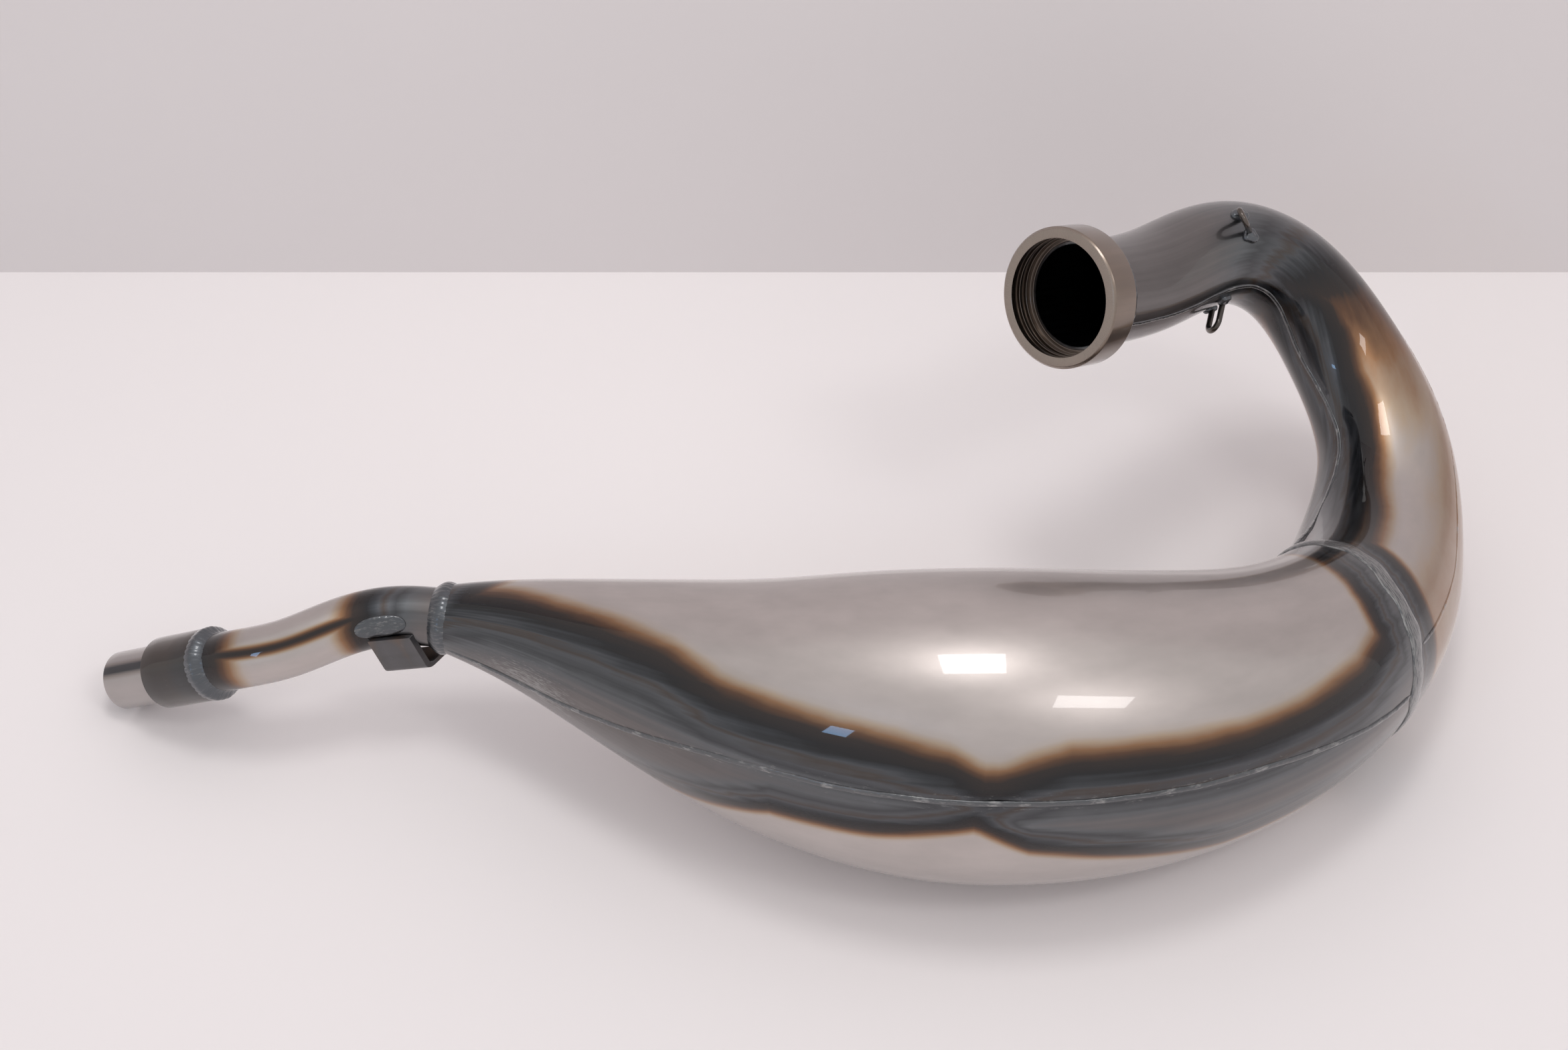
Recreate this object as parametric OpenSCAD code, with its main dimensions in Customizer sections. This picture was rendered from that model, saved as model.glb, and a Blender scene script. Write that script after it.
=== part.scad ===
// Expansion chamber of a two-stroke exhaust, bare steel, welded from pressed halves and tubes.
// It lies on the bench as it rests by itself: +Z up, +X from the tail towards the header's
// bend, +Y away from the viewer. The origin is under the middle of its outline, at bench level.
// Path distances run along the centre line, from the flange's back face towards the tail.

/* [Sheet and tube] */
// Wall of the four pressed shells
shell_wall = 1.2; // [0.8:0.1:1.6]
// Wall of the stinger and tail tubes
tube_wall = 1.2; // [0.8:0.1:1.6]
// Radial clearance where one tube slides into another piece
slip = 0.1; // [0.05:0.05:0.3]
// Root gap between shells that are welded end to end
butt_gap = 0.2; // [0.1:0.1:0.6]

/* [Chamber diameters] */
// Header, from the flange to the elbow
header_d = 46; // [42:1:50]
// Middle of the elbow
elbow_d = 47; // [44:1:52]
// End of the elbow
bend_d = 52; // [48:1:58]
// Front of the diffuser
diffuser_d = 60; // [54:1:68]
// Middle of the diffuser
spread_d = 73; // [66:1:80]
// Where the header shells meet the belly shells
ring_d = 86; // [78:1:94]
// Front shoulder of the belly
shoulder_d = 109; // [100:1:118]
// Fattest part of the belly
belly_d = 126; // [118:1:136]
// Back of the belly
belly_back_d = 124; // [116:1:130]
// Front of the closing cone
cone_d = 101; // [94:1:108]
// Narrow part of the closing cone
cone_tip_d = 55; // [48:1:62]

/* [Ring joint] */
// Path distance of the joint between the header shells and the belly shells
ring_at = 340; // [325:1:355]
// How far the joint leans back on the inside of the bend
ring_lean = 12; // [0:1:16]
// Width of the ring weld
ring_weld_w = 8; // [5:0.5:10]
// Height of the ring weld above the shells
ring_weld_h = 1.8; // [1:0.1:2.5]

/* [Seams] */
// Width of the long seam welds
seam_w = 3.6; // [2.5:0.1:5]
// Height of the long seam welds
seam_h = 0.9; // [0.5:0.1:1.5]
// Angle of the header's outer seam, measured up from level on the outside of the bend
header_outer_seam = 30; // [20:1:45]
// Angle of the header's inner seam beside the flange
header_inner_seam = 187; // [175:1:195]
// Angle of the header's inner seam at the ring joint
header_inner_seam_end = 141; // [130:1:155]
// Angle of the belly's front seam at the ring joint
belly_front_seam = 8; // [0:1:16]
// Angle of the belly's front seam along the belly
belly_front_seam_mid = 20; // [12:1:26]
// Angle of the belly's front seam at the stinger
belly_front_seam_end = -13; // [-20:1:0]
// Angle of the belly's back seam
belly_back_seam = 170; // [160:1:185]

/* [Flange] */
// Outside diameter of the turned flange
flange_d = 60; // [58:1:66]
// Length of the flange
flange_l = 16.5; // [15:0.5:20]
// Bore that slides over the cylinder's spigot
flange_bore_d = 50; // [48.5:0.5:52]
// How deep the header sits in the back of the flange
socket_l = 4; // [3:0.5:5]
// Width of each seal groove
groove_w = 2.6; // [2:0.1:3]
// Depth of each seal groove
groove_depth = 1.6; // [1:0.1:2]
// Distance from the mouth to the first groove
groove_at = 3; // [2:0.5:4]
// Land between the two grooves
groove_land = 1.8; // [1.2:0.1:2.5]
// Chamfer of the flange's outer edges
flange_chamfer = 1; // [0.4:0.1:1.5]
// Leg of the fillet weld behind the flange
flange_weld_leg = 4.5; // [3:0.5:6]

/* [Stinger and tail] */
// Outside diameter of the stinger and the tail tube
stinger_d = 25.4; // [24:0.2:28]
// How deep the stinger sits in the closing cone
stinger_insert = 6; // [4:1:10]
// Width of the weld round the stinger at the cone
joint_weld_w = 8; // [6:0.5:10]
// Height of that weld above the tube
joint_weld_h = 1.6; // [1:0.1:2.4]
// Outside diameter of the collar
collar_d = 31; // [30:0.5:34]
// Length of the collar
collar_l = 30; // [28:1:36]
// How deep each tube sits in the collar
collar_insert = 12; // [8:1:13]
// Length of the weld on the stinger behind the collar
collar_weld_l = 5.5; // [4:0.5:7]
// Height of that weld above the collar
collar_weld_h = 1.1; // [0.6:0.1:1.6]
// Free length of the tail tube behind the collar
tail_l = 27; // [20:1:45]

/* [Stinger bracket] */
// Path distance of the bracket's middle behind the cone's end
bracket_at = 22.5; // [20:0.5:24]
// Thickness of the folded sheet
bracket_t = 2; // [1.5:0.25:2.5]
// Length of the bracket along the tube
bracket_l = 17.5; // [14:0.5:19]
// How far the fold lies below the tube's centre
bracket_drop = 17; // [14:0.5:18]
// Width of the lip under the tube
bracket_lip = 12; // [8:1:14]
// Angle by which the leg's ends lean
leg_skew = 12; // [0:1:18]
// Angle by which the lip's ends are cut off square
lip_skew = 40; // [0:5:50]
// Gap between the bracket's leg and the stinger where it bends
bracket_clear = 0.7; // [0.5:0.05:0.8]
// Width of the weld over the bracket's leg
bracket_weld_w = 9; // [6:0.5:10]
// Height of that weld
bracket_weld_h = 1.5; // [1:0.1:2]

/* [Spring hooks] */
// Diameter of the hooks' wire
wire_d = 2.6; // [2.2:0.2:3.2]
// Clear gap between the two legs of a hook
hook_gap = 5; // [4.6:0.2:6]
// Reach of a hook from the header's skin to the middle of its bow
hook_reach = 9; // [8:0.5:12]
// Path distance of the side hook
side_hook_at = 90; // [84:1:94]
// Angle of the side hook round the header
side_hook_angle = 115; // [105:1:125]
// Path distance of the lower hook
low_hook_at = 76; // [70:1:80]
// Angle of the lower hook round the header
low_hook_angle = 217; // [212:1:225]
// Lean of both hooks towards the flange
hook_lean = 45; // [30:5:50]
// Diameter of each spot of weld at a hook's foot
hook_weld_d = 7; // [6:0.5:8]
// Height of each spot of weld
hook_weld_h = 2.2; // [1.6:0.2:2.8]

/* [Hidden] */

$fn = 96;

// Centre of each station along the pipe, from the flange's back face to the collar.
ROUTE = [
    [122.4, 68, 157],
    [156.9, 99, 141],
    [193.4, 127.5, 132.5],
    [219.4, 133.5, 116.5],
    [248.4, 119, 85],
    [266.4, 80, 55.5],
    [260.4, 34.5, 38.9],
    [233.4, -25, 45.6],
    [180.9, -69, 55.2],
    [116.4, -90.5, 62.9],
    [41.9, -89.5, 63.5],
    [-16.1, -75.5, 62],
    [-97.1, -43.5, 61.7],
    [-147.1, -30, 62],
    [-170.1, -29, 62],
    [-190.1, -33.5, 59.8],
    [-213.1, -39.5, 53.3],
    [-234.1, -39.5, 46.8],
    [-245.1, -36, 40.5]
];
stinger_r = stinger_d / 2;
cone_end_r = stinger_r + slip + shell_wall;
// Outside radius at each station as far as the cone's end.
RADII = concat(
    [header_d, header_d, header_d, elbow_d, bend_d, diffuser_d, spread_d, ring_d,
     shoulder_d, belly_d, belly_back_d, cone_d, cone_tip_d] / 2,
    [cone_end_r]
);

// Gap between a weld and the faceted sheet under it.
weld_seat = 0.1;
// Rings and segments of the pressed shells.
header_rings = 34;
belly_rings = 28;
upper_segments = 14;
lower_segments = 20;
// Distance from a shell's end to its first ring, wider than half a ring weld.
end_step = 6;
// Stretch over which a seam turns from one angle to the next, as stations.
inner_turn = [3, 5.5];
front_turn = [7, 8.4];
front_fall = [10.6, 13];

function unit(v) = v / norm(v);
function mix(a, b, u) = a + (b - a) * u;
function clamp(v, low, high) = max(low, min(high, v));
// Soft step from 0 to 1.
function ease(u) = (1 - cos(180 * clamp(u, 0, 1))) / 2;

// Distances of the stations along the path.
function chords(p, i = 1, sum = [0]) =
    i == len(p) ? sum : chords(p, i + 1, concat(sum, [sum[i - 1] + norm(p[i] - p[i - 1])]));

// Second derivatives of the natural cubic spline y over x, found by relaxation.
function relax(x, y, m, rounds) =
    rounds == 0 ? m : relax(x, y, [
        for (i = [0:len(x) - 1])
            i == 0 || i == len(x) - 1 ? 0 * y[0] :
            let (before = x[i] - x[i - 1], after = x[i + 1] - x[i],
                 turn = (y[i + 1] - y[i]) / after - (y[i] - y[i - 1]) / before)
            (6 * turn - before * m[i - 1] - after * m[i + 1]) / (2 * (before + after))
    ], rounds - 1);
function bends(x, y) = relax(x, y, 0 * y, 30);

// Value and slope of that spline at t.
function span(x, t, i = 0) = i == len(x) - 2 || t < x[i + 1] ? i : span(x, t, i + 1);
function spline(x, y, m, t) =
    let (i = span(x, t), h = x[i + 1] - x[i], a = (x[i + 1] - t) / h, b = 1 - a)
    a * y[i] + b * y[i + 1] + ((a ^ 3 - a) * m[i] + (b ^ 3 - b) * m[i + 1]) * h ^ 2 / 6;
function slope(x, y, m, t) =
    let (i = span(x, t), h = x[i + 1] - x[i], a = (x[i + 1] - t) / h, b = 1 - a)
    (y[i + 1] - y[i]) / h + ((3 * b ^ 2 - 1) * m[i + 1] - (3 * a ^ 2 - 1) * m[i]) * h / 6;

STATIONS = chords(ROUTE);
ROUTE_BENDS = bends(STATIONS, ROUTE);
SHELL_STATIONS = [for (i = [0:len(RADII) - 1]) STATIONS[i]];
RADIUS_BENDS = bends(SHELL_STATIONS, RADII);
path_end = STATIONS[len(STATIONS) - 1];
cone_end = SHELL_STATIONS[len(RADII) - 1];

// Path distance of a station given as a number with a fraction.
function station(n) = mix(STATIONS[floor(n)], STATIONS[ceil(n)], n - floor(n));

// The centre line runs on straight past both of its ends.
function travel(s) = unit(slope(STATIONS, ROUTE, ROUTE_BENDS, clamp(s, 0, path_end)));
function centre(s) =
    let (t = clamp(s, 0, path_end)) spline(STATIONS, ROUTE, ROUTE_BENDS, t) + (s - t) * travel(t);
// Level direction to the outside of the bend, and the direction square to it and to the path.
function outside(s) = unit(cross([0, 0, 1], travel(s)));
function rise(s) = cross(travel(s), outside(s));
function skin(s, angle, r) = centre(s) + r * (cos(angle) * outside(s) + sin(angle) * rise(s));
// Outside radius of the shells.
function shell_r(s) = spline(SHELL_STATIONS, RADII, RADIUS_BENDS, clamp(s, 0, cone_end));

// Path distance of the leaning ring joint at an angle round the pipe.
function ring_s(angle) = ring_at + ring_lean * cos(angle);

// Angles of the four seams along the path.
function turned(s, from, to, stretch) =
    mix(from, to, ease((s - station(stretch[0])) / (station(stretch[1]) - station(stretch[0]))));
outer_seam = function (s) header_outer_seam;
inner_seam = function (s) turned(s, header_inner_seam, header_inner_seam_end, inner_turn);
front_seam = function (s)
    turned(s, turned(s, belly_front_seam, belly_front_seam_mid, front_turn),
           belly_front_seam_end, front_fall);
back_seam = function (s) belly_back_seam;

// Ends of the two pairs of shells, as path distances at an angle.
header_start = function (angle) -socket_l;
header_stop = function (angle) ring_s(angle) - butt_gap / 2;
belly_start = function (angle) ring_s(angle) + butt_gap / 2;
belly_stop = function (angle) cone_end;

// Shares of the way along a shell at which its rings lie, closer at the ends.
function ring_shares(length, rings, margin = 0) =
    let (first = end_step / length)
    [margin / length, for (i = [0:rings - 1]) mix(first, 1 - first, i / (rings - 1)),
     1 - margin / length];

// Two triangles for each cell of a grid, rows by columns, seen from outside clockwise.
function cells(rows, cols, at, flip) = [
    for (i = [0:rows - 2], j = [0:cols - 2])
        let (a = at(i, j), b = at(i, j + 1), c = at(i + 1, j + 1), d = at(i + 1, j))
        each flip ? [[a, c, b], [a, d, c]] : [[a, b, c], [a, c, d]]
];

// A closed wall between an outer and an inner grid of points with open rims.
module walled(outer, inner) {
    rows = len(outer);
    cols = len(outer[0]);
    count = rows * cols;
    out_at = function (i, j) i * cols + j;
    in_at = function (i, j) count + i * cols + j;
    head = function (i, j) i == 0 ? out_at(0, j) : in_at(0, j);
    foot = function (i, j) i == 0 ? out_at(rows - 1, j) : in_at(rows - 1, j);
    left = function (i, j) i == 0 ? out_at(j, 0) : in_at(j, 0);
    right = function (i, j) i == 0 ? out_at(j, cols - 1) : in_at(j, cols - 1);
    polyhedron(
        points = [for (row = outer) each row, for (row = inner) each row],
        faces = concat(
            cells(rows, cols, out_at, true), cells(rows, cols, in_at, false),
            cells(2, cols, head, false), cells(2, cols, foot, true),
            cells(2, rows, left, true), cells(2, rows, right, false)
        )
    );
}

// A solid swept through closed sections, with flat ends or joined into a loop.
module swept(sections, loop = false) {
    rows = len(sections);
    cols = len(sections[0]);
    at = function (i, j) (i % rows) * cols + j % cols;
    polyhedron(
        points = [for (row = sections) each row],
        faces = concat(
            cells(loop ? rows + 1 : rows, cols + 1, at, false),
            loop ? [] : [[for (j = [cols - 1:-1:0]) at(0, j)], [for (j = [0:cols - 1]) at(rows - 1, j)]]
        )
    );
}

// One pressed half between two seams and two ends.
module pressed_half(start, stop, seam_a, seam_b, rings, segments) {
    nominal_start = start(90);
    nominal_stop = stop(90);
    shares = ring_shares(nominal_stop - nominal_start, rings);
    sheet = function (depth) [
        for (u = shares)
            let (s = mix(nominal_start, nominal_stop, u), from = seam_a(s), to = seam_b(s))
            [for (j = [0:segments])
                let (angle = mix(from, to, j / segments), t = mix(start(angle), stop(angle), u))
                skin(t, angle, shell_r(t) - depth)]
    ];
    walled(sheet(0), sheet(shell_wall));
}

// Section of a bead of weld across the sheet: offsets across, heights above its seat.
BEAD = [[-0.5, 0], [0, 0], [0.5, 0], [0.3, 0.75], [0, 1], [-0.3, 0.75]];

// A bead along the path at a seam, on the rings of the shells that it joins.
module seam_bead(start, stop, seam, rings, margin_start, margin_stop) {
    nominal_start = start(90);
    nominal_stop = stop(90);
    length = nominal_stop - nominal_start;
    shares = [for (u = ring_shares(length, rings))
        clamp(u, margin_start / length, 1 - margin_stop / length)];
    swept([
        for (u = shares)
            let (angle = seam(mix(nominal_start, nominal_stop, u)),
                 s = mix(start(angle), stop(angle), u), r = shell_r(s))
            [for (p = BEAD) skin(s, angle + p[0] * seam_w / r * 180 / PI, r + weld_seat + p[1] * seam_h)]
    ]);
}

// Puts children on the path: +Z along it, +X to the outside of the bend.
module on_path(s) {
    x = outside(s);
    y = rise(s);
    z = travel(s);
    o = centre(s);
    multmatrix([
        [x[0], y[0], z[0], o[0]],
        [x[1], y[1], z[1], o[1]],
        [x[2], y[2], z[2], o[2]],
        [0, 0, 0, 1]
    ]) children();
}

// Turned ring with a bore, two seal grooves and a socket for the header at its back.
module header_flange() {
    bore_r = flange_bore_d / 2;
    groove_r = bore_r + groove_depth;
    first = groove_at;
    second = groove_at + groove_w + groove_land;
    color("rosybrown")
        on_path(0) mirror([0, 0, 1]) rotate_extrude() polygon([
            [header_d / 2 + slip, 0],
            [flange_d / 2 - 2 * flange_chamfer, 0],
            [flange_d / 2, 2 * flange_chamfer],
            [flange_d / 2, flange_l - flange_chamfer],
            [flange_d / 2 - flange_chamfer, flange_l],
            [bore_r, flange_l],
            [bore_r, flange_l - first],
            [groove_r, flange_l - first],
            [groove_r, flange_l - first - groove_w],
            [bore_r, flange_l - first - groove_w],
            [bore_r, flange_l - second],
            [groove_r, flange_l - second],
            [groove_r, flange_l - second - groove_w],
            [bore_r, flange_l - second - groove_w],
            [bore_r, socket_l],
            [header_d / 2 + slip, socket_l]
        ]);
}

// Fillet of weld between the flange's back face and the header.
module flange_weld() {
    root_r = header_d / 2 + slip;
    steps = 6;
    color("slategray")
        on_path(0) rotate_extrude() polygon([
            [root_r, weld_seat],
            for (i = [0:steps])
                let (u = i / steps, bulge = 0.25 * sin(180 * u))
                [root_r + flange_weld_leg * (1 - u + bulge), weld_seat + flange_weld_leg * (u + bulge)]
        ]);
}

module header_shell_upper() {
    color("dimgray")
        pressed_half(header_start, header_stop, outer_seam, inner_seam, header_rings, upper_segments);
}

module header_shell_lower() {
    color("gray")
        pressed_half(header_start, header_stop, inner_seam, function (s) outer_seam(s) + 360,
                     header_rings, lower_segments);
}

module belly_shell_upper() {
    color("silver")
        pressed_half(belly_start, belly_stop, front_seam, back_seam, belly_rings, upper_segments);
}

module belly_shell_lower() {
    color("darkgray")
        pressed_half(belly_start, belly_stop, back_seam, function (s) front_seam(s) + 360,
                     belly_rings, lower_segments);
}

// The long beads stop short of the welds across them.
bead_gap = 0.4;
flange_margin = socket_l + flange_weld_leg + bead_gap;
ring_margin = ring_weld_w / 2 + bead_gap;
joint_margin = joint_weld_w / 2 + bead_gap;

module header_outer_seam_weld() {
    color("lightsteelblue")
        seam_bead(header_start, header_stop, outer_seam, header_rings, flange_margin, ring_margin);
}

module header_inner_seam_weld() {
    color("lightsteelblue")
        seam_bead(header_start, header_stop, inner_seam, header_rings, flange_margin, ring_margin);
}

module belly_front_seam_weld() {
    color("lightsteelblue")
        seam_bead(belly_start, belly_stop, front_seam, belly_rings, ring_margin, joint_margin);
}

module belly_back_seam_weld() {
    color("lightsteelblue")
        seam_bead(belly_start, belly_stop, back_seam, belly_rings, ring_margin, joint_margin);
}

// Ring weld round the leaning joint of the header and belly shells.
module chamber_joint_weld() {
    segments = 60;
    color("slategray") swept([
        for (k = [0:segments - 1])
            let (angle = 360 * k / segments)
            [for (p = BEAD)
                let (s = ring_s(angle) - p[0] * ring_weld_w)
                skin(s, angle, shell_r(s) + weld_seat + p[1] * ring_weld_h)]
    ], loop = true);
}

// Weld from the cone's end down to the stinger.
module stinger_joint_weld() {
    steps = 8;
    half = joint_weld_w / 2;
    high = shell_r(cone_end - half) + weld_seat;
    low = stinger_r + weld_seat;
    color("slategray")
        on_path(cone_end) rotate_extrude() polygon([
            for (i = [0:steps])
                let (u = i / steps)
                [mix(high, low, u) + joint_weld_h * sin(180 * u), mix(-half, half, u)],
            [low, weld_seat],
            [cone_end_r + weld_seat, weld_seat]
        ]);
}

// Bent tube from inside the cone to inside the collar.
module stinger_tube() {
    segments = 24;
    rings = 18;
    from = cone_end - stinger_insert;
    to = path_end + collar_insert;
    wall_at = function (r) [
        for (i = [0:rings])
            [for (j = [0:segments]) skin(mix(from, to, i / rings), 360 * j / segments, r)]
    ];
    outer = wall_at(stinger_r);
    inner = wall_at(stinger_r - tube_wall);
    cols = segments + 1;
    count = (rings + 1) * segments;
    out_at = function (i, j) i * segments + j % segments;
    in_at = function (i, j) count + i * segments + j % segments;
    head = function (i, j) i == 0 ? out_at(0, j) : in_at(0, j);
    foot = function (i, j) i == 0 ? out_at(rings, j) : in_at(rings, j);
    color("silver") polyhedron(
        points = [
            for (row = outer, j = [0:segments - 1]) row[j],
            for (row = inner, j = [0:segments - 1]) row[j]
        ],
        faces = concat(
            cells(rings + 1, cols, out_at, true), cells(rings + 1, cols, in_at, false),
            cells(2, cols, head, false), cells(2, cols, foot, true)
        )
    );
}

module stinger_collar() {
    color("dimgray")
        on_path(path_end) difference() {
            cylinder(d = collar_d, h = collar_l);
            translate([0, 0, -collar_l]) cylinder(r = stinger_r + slip, h = 3 * collar_l);
        }
}

// Round bead from the stinger up over the collar's edge.
module collar_weld() {
    steps = 10;
    lap = 3;
    seat_r = stinger_r + weld_seat;
    collar_r = collar_d / 2 + weld_seat;
    color("slategray")
        on_path(path_end) rotate_extrude() polygon([
            for (i = [0:steps])
                let (u = i / steps)
                [mix(seat_r, collar_r, ease(1.6 * u)) + collar_weld_h * sin(180 * u),
                 mix(-collar_weld_l, lap, u)],
            [collar_r, -weld_seat],
            [seat_r, -weld_seat]
        ]);
}

// How far the turned-down end of the tail tube shows behind the collar, so a sleeve stops clear of it.
tail_seat = 1;

// Tube with its end inside the collar turned down a little.
module tail_tube() {
    color("silver")
        on_path(path_end) translate([0, 0, collar_l]) difference() {
            union() {
                translate([0, 0, -collar_insert])
                    cylinder(r = stinger_r - 2 * slip, h = collar_insert + tail_l / 2);
                translate([0, 0, tail_seat]) cylinder(r = stinger_r, h = tail_l - tail_seat);
            }
            translate([0, 0, -tail_l]) cylinder(r = stinger_r - tube_wall, h = 3 * tail_l);
        }
}

bracket_s = cone_end + bracket_at;
bracket_near = stinger_r + bracket_clear;
// Height of the leg's upper edge over the tube's centre, and how far the weld over it reaches past it.
bracket_top = 1.5;
bracket_weld_lap = 3.5;

// Folded sheet: a leg down the stinger's outer side and a lip under it, its ends cut at a skew.
module stinger_bracket() {
    far = bracket_near + bracket_t;
    low = -bracket_drop;
    room = 4 * (bracket_l + bracket_drop + bracket_lip);
    color("dimgray")
        on_path(bracket_s) intersection() {
            linear_extrude(room, center = true) polygon([
                [bracket_near, bracket_top], [bracket_near, low], [far - bracket_lip, low],
                [far - bracket_lip, low - bracket_t], [far, low - bracket_t], [far, bracket_top]
            ]);
            translate([far, 0, 0]) rotate([leg_skew, -lip_skew, 0])
                cube([room, room, bracket_l * cos(leg_skew) * cos(lip_skew)], center = true);
        }
}

// Bead over the upper edge of the bracket's leg, on the stinger.
module bracket_weld() {
    steps = 10;
    degree = PI * stinger_r / 180;
    half_turn = bracket_weld_w / 2 / degree;
    place = (bracket_top + 3 * weld_seat) / degree + half_turn;
    color("slategray")
        swept([
            for (i = [0:steps])
                let (u = 2 * i / steps - 1, full = sqrt(1 - 0.9 * u ^ 2),
                     s = bracket_s + bracket_weld_lap + u * (bracket_l / 2 + bracket_weld_lap))
                [for (p = BEAD)
                    skin(s, place + 2 * p[0] * half_turn * full,
                         stinger_r + 2 * weld_seat + p[1] * bracket_weld_h * full)]
        ]);
}

// Puts children on the header's skin: +Z outwards, +X along the path, away from the flange.
module on_skin(s, angle) {
    on_path(s) rotate([0, 0, angle]) translate([shell_r(s), 0, 0]) rotate([0, -90, 0])
        rotate([180, 0, 0]) children();
}

// Cuts what would reach into the header.
module seated_on_header(s) {
    difference() {
        children();
        on_path(s) cylinder(r = shell_r(s) + weld_seat, h = 3 * header_d, center = true);
    }
}

hook_half = (hook_gap + wire_d) / 2;

// U of wire, its legs side by side round the pipe, leaning towards the flange.
module hook_wire(d) {
    rotate([0, -hook_lean, 0]) {
        for (side = [-1, 1])
            translate([0, side * hook_half, -hook_reach / 2]) cylinder(d = d, h = 1.5 * hook_reach);
        translate([0, 0, hook_reach]) rotate([0, 90, 0]) rotate([0, 0, 90])
            rotate_extrude(angle = 180) translate([hook_half, 0]) circle(d = d);
    }
}

module spring_hook(s, angle) {
    seated_on_header(s) on_skin(s, angle) hook_wire(wire_d);
}

// Spots of weld round the two feet of a hook.
module hook_welds(s, angle) {
    ball_r = (hook_weld_d ^ 2 / 4 + hook_weld_h ^ 2) / (2 * hook_weld_h);
    seated_on_header(s) on_skin(s, angle) difference() {
        for (side = [-1, 1])
            translate([0, side * (hook_half + hook_weld_d / 4), hook_weld_h - ball_r])
                sphere(r = ball_r, $fn = 48);
        hook_wire(wire_d + 2 * weld_seat);
    }
}

module spring_hook_side() {
    color("saddlebrown") spring_hook(side_hook_at, side_hook_angle);
}

module side_hook_weld() {
    color("slategray") hook_welds(side_hook_at, side_hook_angle);
}

module spring_hook_lower() {
    color("saddlebrown") spring_hook(low_hook_at, low_hook_angle);
}

module lower_hook_weld() {
    color("slategray") hook_welds(low_hook_at, low_hook_angle);
}

header_flange();
flange_weld();
header_shell_upper();
header_shell_lower();
header_outer_seam_weld();
header_inner_seam_weld();
chamber_joint_weld();
belly_shell_upper();
belly_shell_lower();
belly_front_seam_weld();
belly_back_seam_weld();
stinger_joint_weld();
stinger_tube();
stinger_collar();
collar_weld();
tail_tube();
stinger_bracket();
bracket_weld();
spring_hook_side();
side_hook_weld();
spring_hook_lower();
lower_hook_weld();
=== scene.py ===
"""Looks of a bare-steel expansion chamber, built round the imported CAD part."""
import math

import bpy
import numpy as np
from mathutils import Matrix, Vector


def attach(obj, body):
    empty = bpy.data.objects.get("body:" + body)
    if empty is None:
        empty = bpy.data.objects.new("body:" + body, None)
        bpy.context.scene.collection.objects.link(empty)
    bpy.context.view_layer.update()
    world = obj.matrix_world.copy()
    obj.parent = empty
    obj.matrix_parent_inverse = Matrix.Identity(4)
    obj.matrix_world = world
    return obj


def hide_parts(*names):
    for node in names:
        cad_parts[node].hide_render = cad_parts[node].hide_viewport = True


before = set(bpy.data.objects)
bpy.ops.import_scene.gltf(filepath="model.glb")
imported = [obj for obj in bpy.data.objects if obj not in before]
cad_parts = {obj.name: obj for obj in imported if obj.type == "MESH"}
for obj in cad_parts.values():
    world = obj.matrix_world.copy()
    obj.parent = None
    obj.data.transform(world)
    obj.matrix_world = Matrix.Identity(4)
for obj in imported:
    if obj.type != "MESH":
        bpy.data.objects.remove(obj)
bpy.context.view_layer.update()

# Sizes in millimetres, as in the part's source.
ROUTE = np.array([
    [122.4, 68, 157],
    [156.9, 99, 141],
    [193.4, 127.5, 132.5],
    [219.4, 133.5, 116.5],
    [248.4, 119, 85],
    [266.4, 80, 55.5],
    [260.4, 34.5, 38.9],
    [233.4, -25, 45.6],
    [180.9, -69, 55.2],
    [116.4, -90.5, 62.9],
    [41.9, -89.5, 63.5],
    [-16.1, -75.5, 62],
    [-97.1, -43.5, 61.7],
    [-147.1, -30, 62],
    [-170.1, -29, 62],
    [-190.1, -33.5, 59.8],
    [-213.1, -39.5, 53.3],
    [-234.1, -39.5, 46.8],
    [-245.1, -36, 40.5],
])
SHELL_DIAMETERS = [46, 46, 46, 47, 52, 60, 73, 86, 109, 126, 124, 101, 55]
WALL = 1.2
SLIP = 0.1
WELD_SEAT = 0.1
RING_AT = 340
RING_LEAN = 12
RING_W = 8
RING_H = 1.8
SEAM_W = 3.6
SEAM_H = 0.9
BUTT_GAP = 0.2
OUTER_SEAM = 30
INNER_SEAM = (187, 141)
FRONT_SEAM = (8, 20, -13)
BACK_SEAM = 170
INNER_TURN = (3, 5.5)
FRONT_TURN = (7, 8.4)
FRONT_FALL = (10.6, 13)
FLANGE_D = 60
FLANGE_L = 16.5
FLANGE_BORE_D = 50
SOCKET_L = 4
GROOVES = (3, 7.4)
GROOVE_W = 2.6
GROOVE_DEPTH = 1.6
FLANGE_CHAMFER = 1
FLANGE_LEG = 4.5
TUBE_R = 12.7
TUBE_IN = 11.5
STINGER_INSERT = 6
JOINT_W = 8
JOINT_H = 1.6
COLLAR_R = 15.5
COLLAR_L = 30
COLLAR_INSERT = 12
COLLAR_WELD_L = 5.5
COLLAR_WELD_H = 1.1
TAIL_L = 27
TAIL_SEAT = 1
BRACKET_AT = 22.5
BRACKET_T = 2
BRACKET_L = 17.5
BRACKET_DROP = 17
BRACKET_LIP = 12
BRACKET_TOP = 1.5
LEG_SKEW = 12
LIP_SKEW = 40
BRACKET_CLEAR = 0.7
BRACKET_WELD_W = 9
BRACKET_WELD_H = 1.5
BRACKET_WELD_LAP = 3.5
WIRE_D = 2.6
HOOK_GAP = 5
HOOK_REACH = 9
SIDE_HOOK = (90, 115)
LOW_HOOK = (76, 217)
HOOK_LEAN = 45
HOOK_WELD_D = 7
HOOK_WELD_H = 2.2
BEAD_GAP = 0.4

MM_IN_M = 1000

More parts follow.
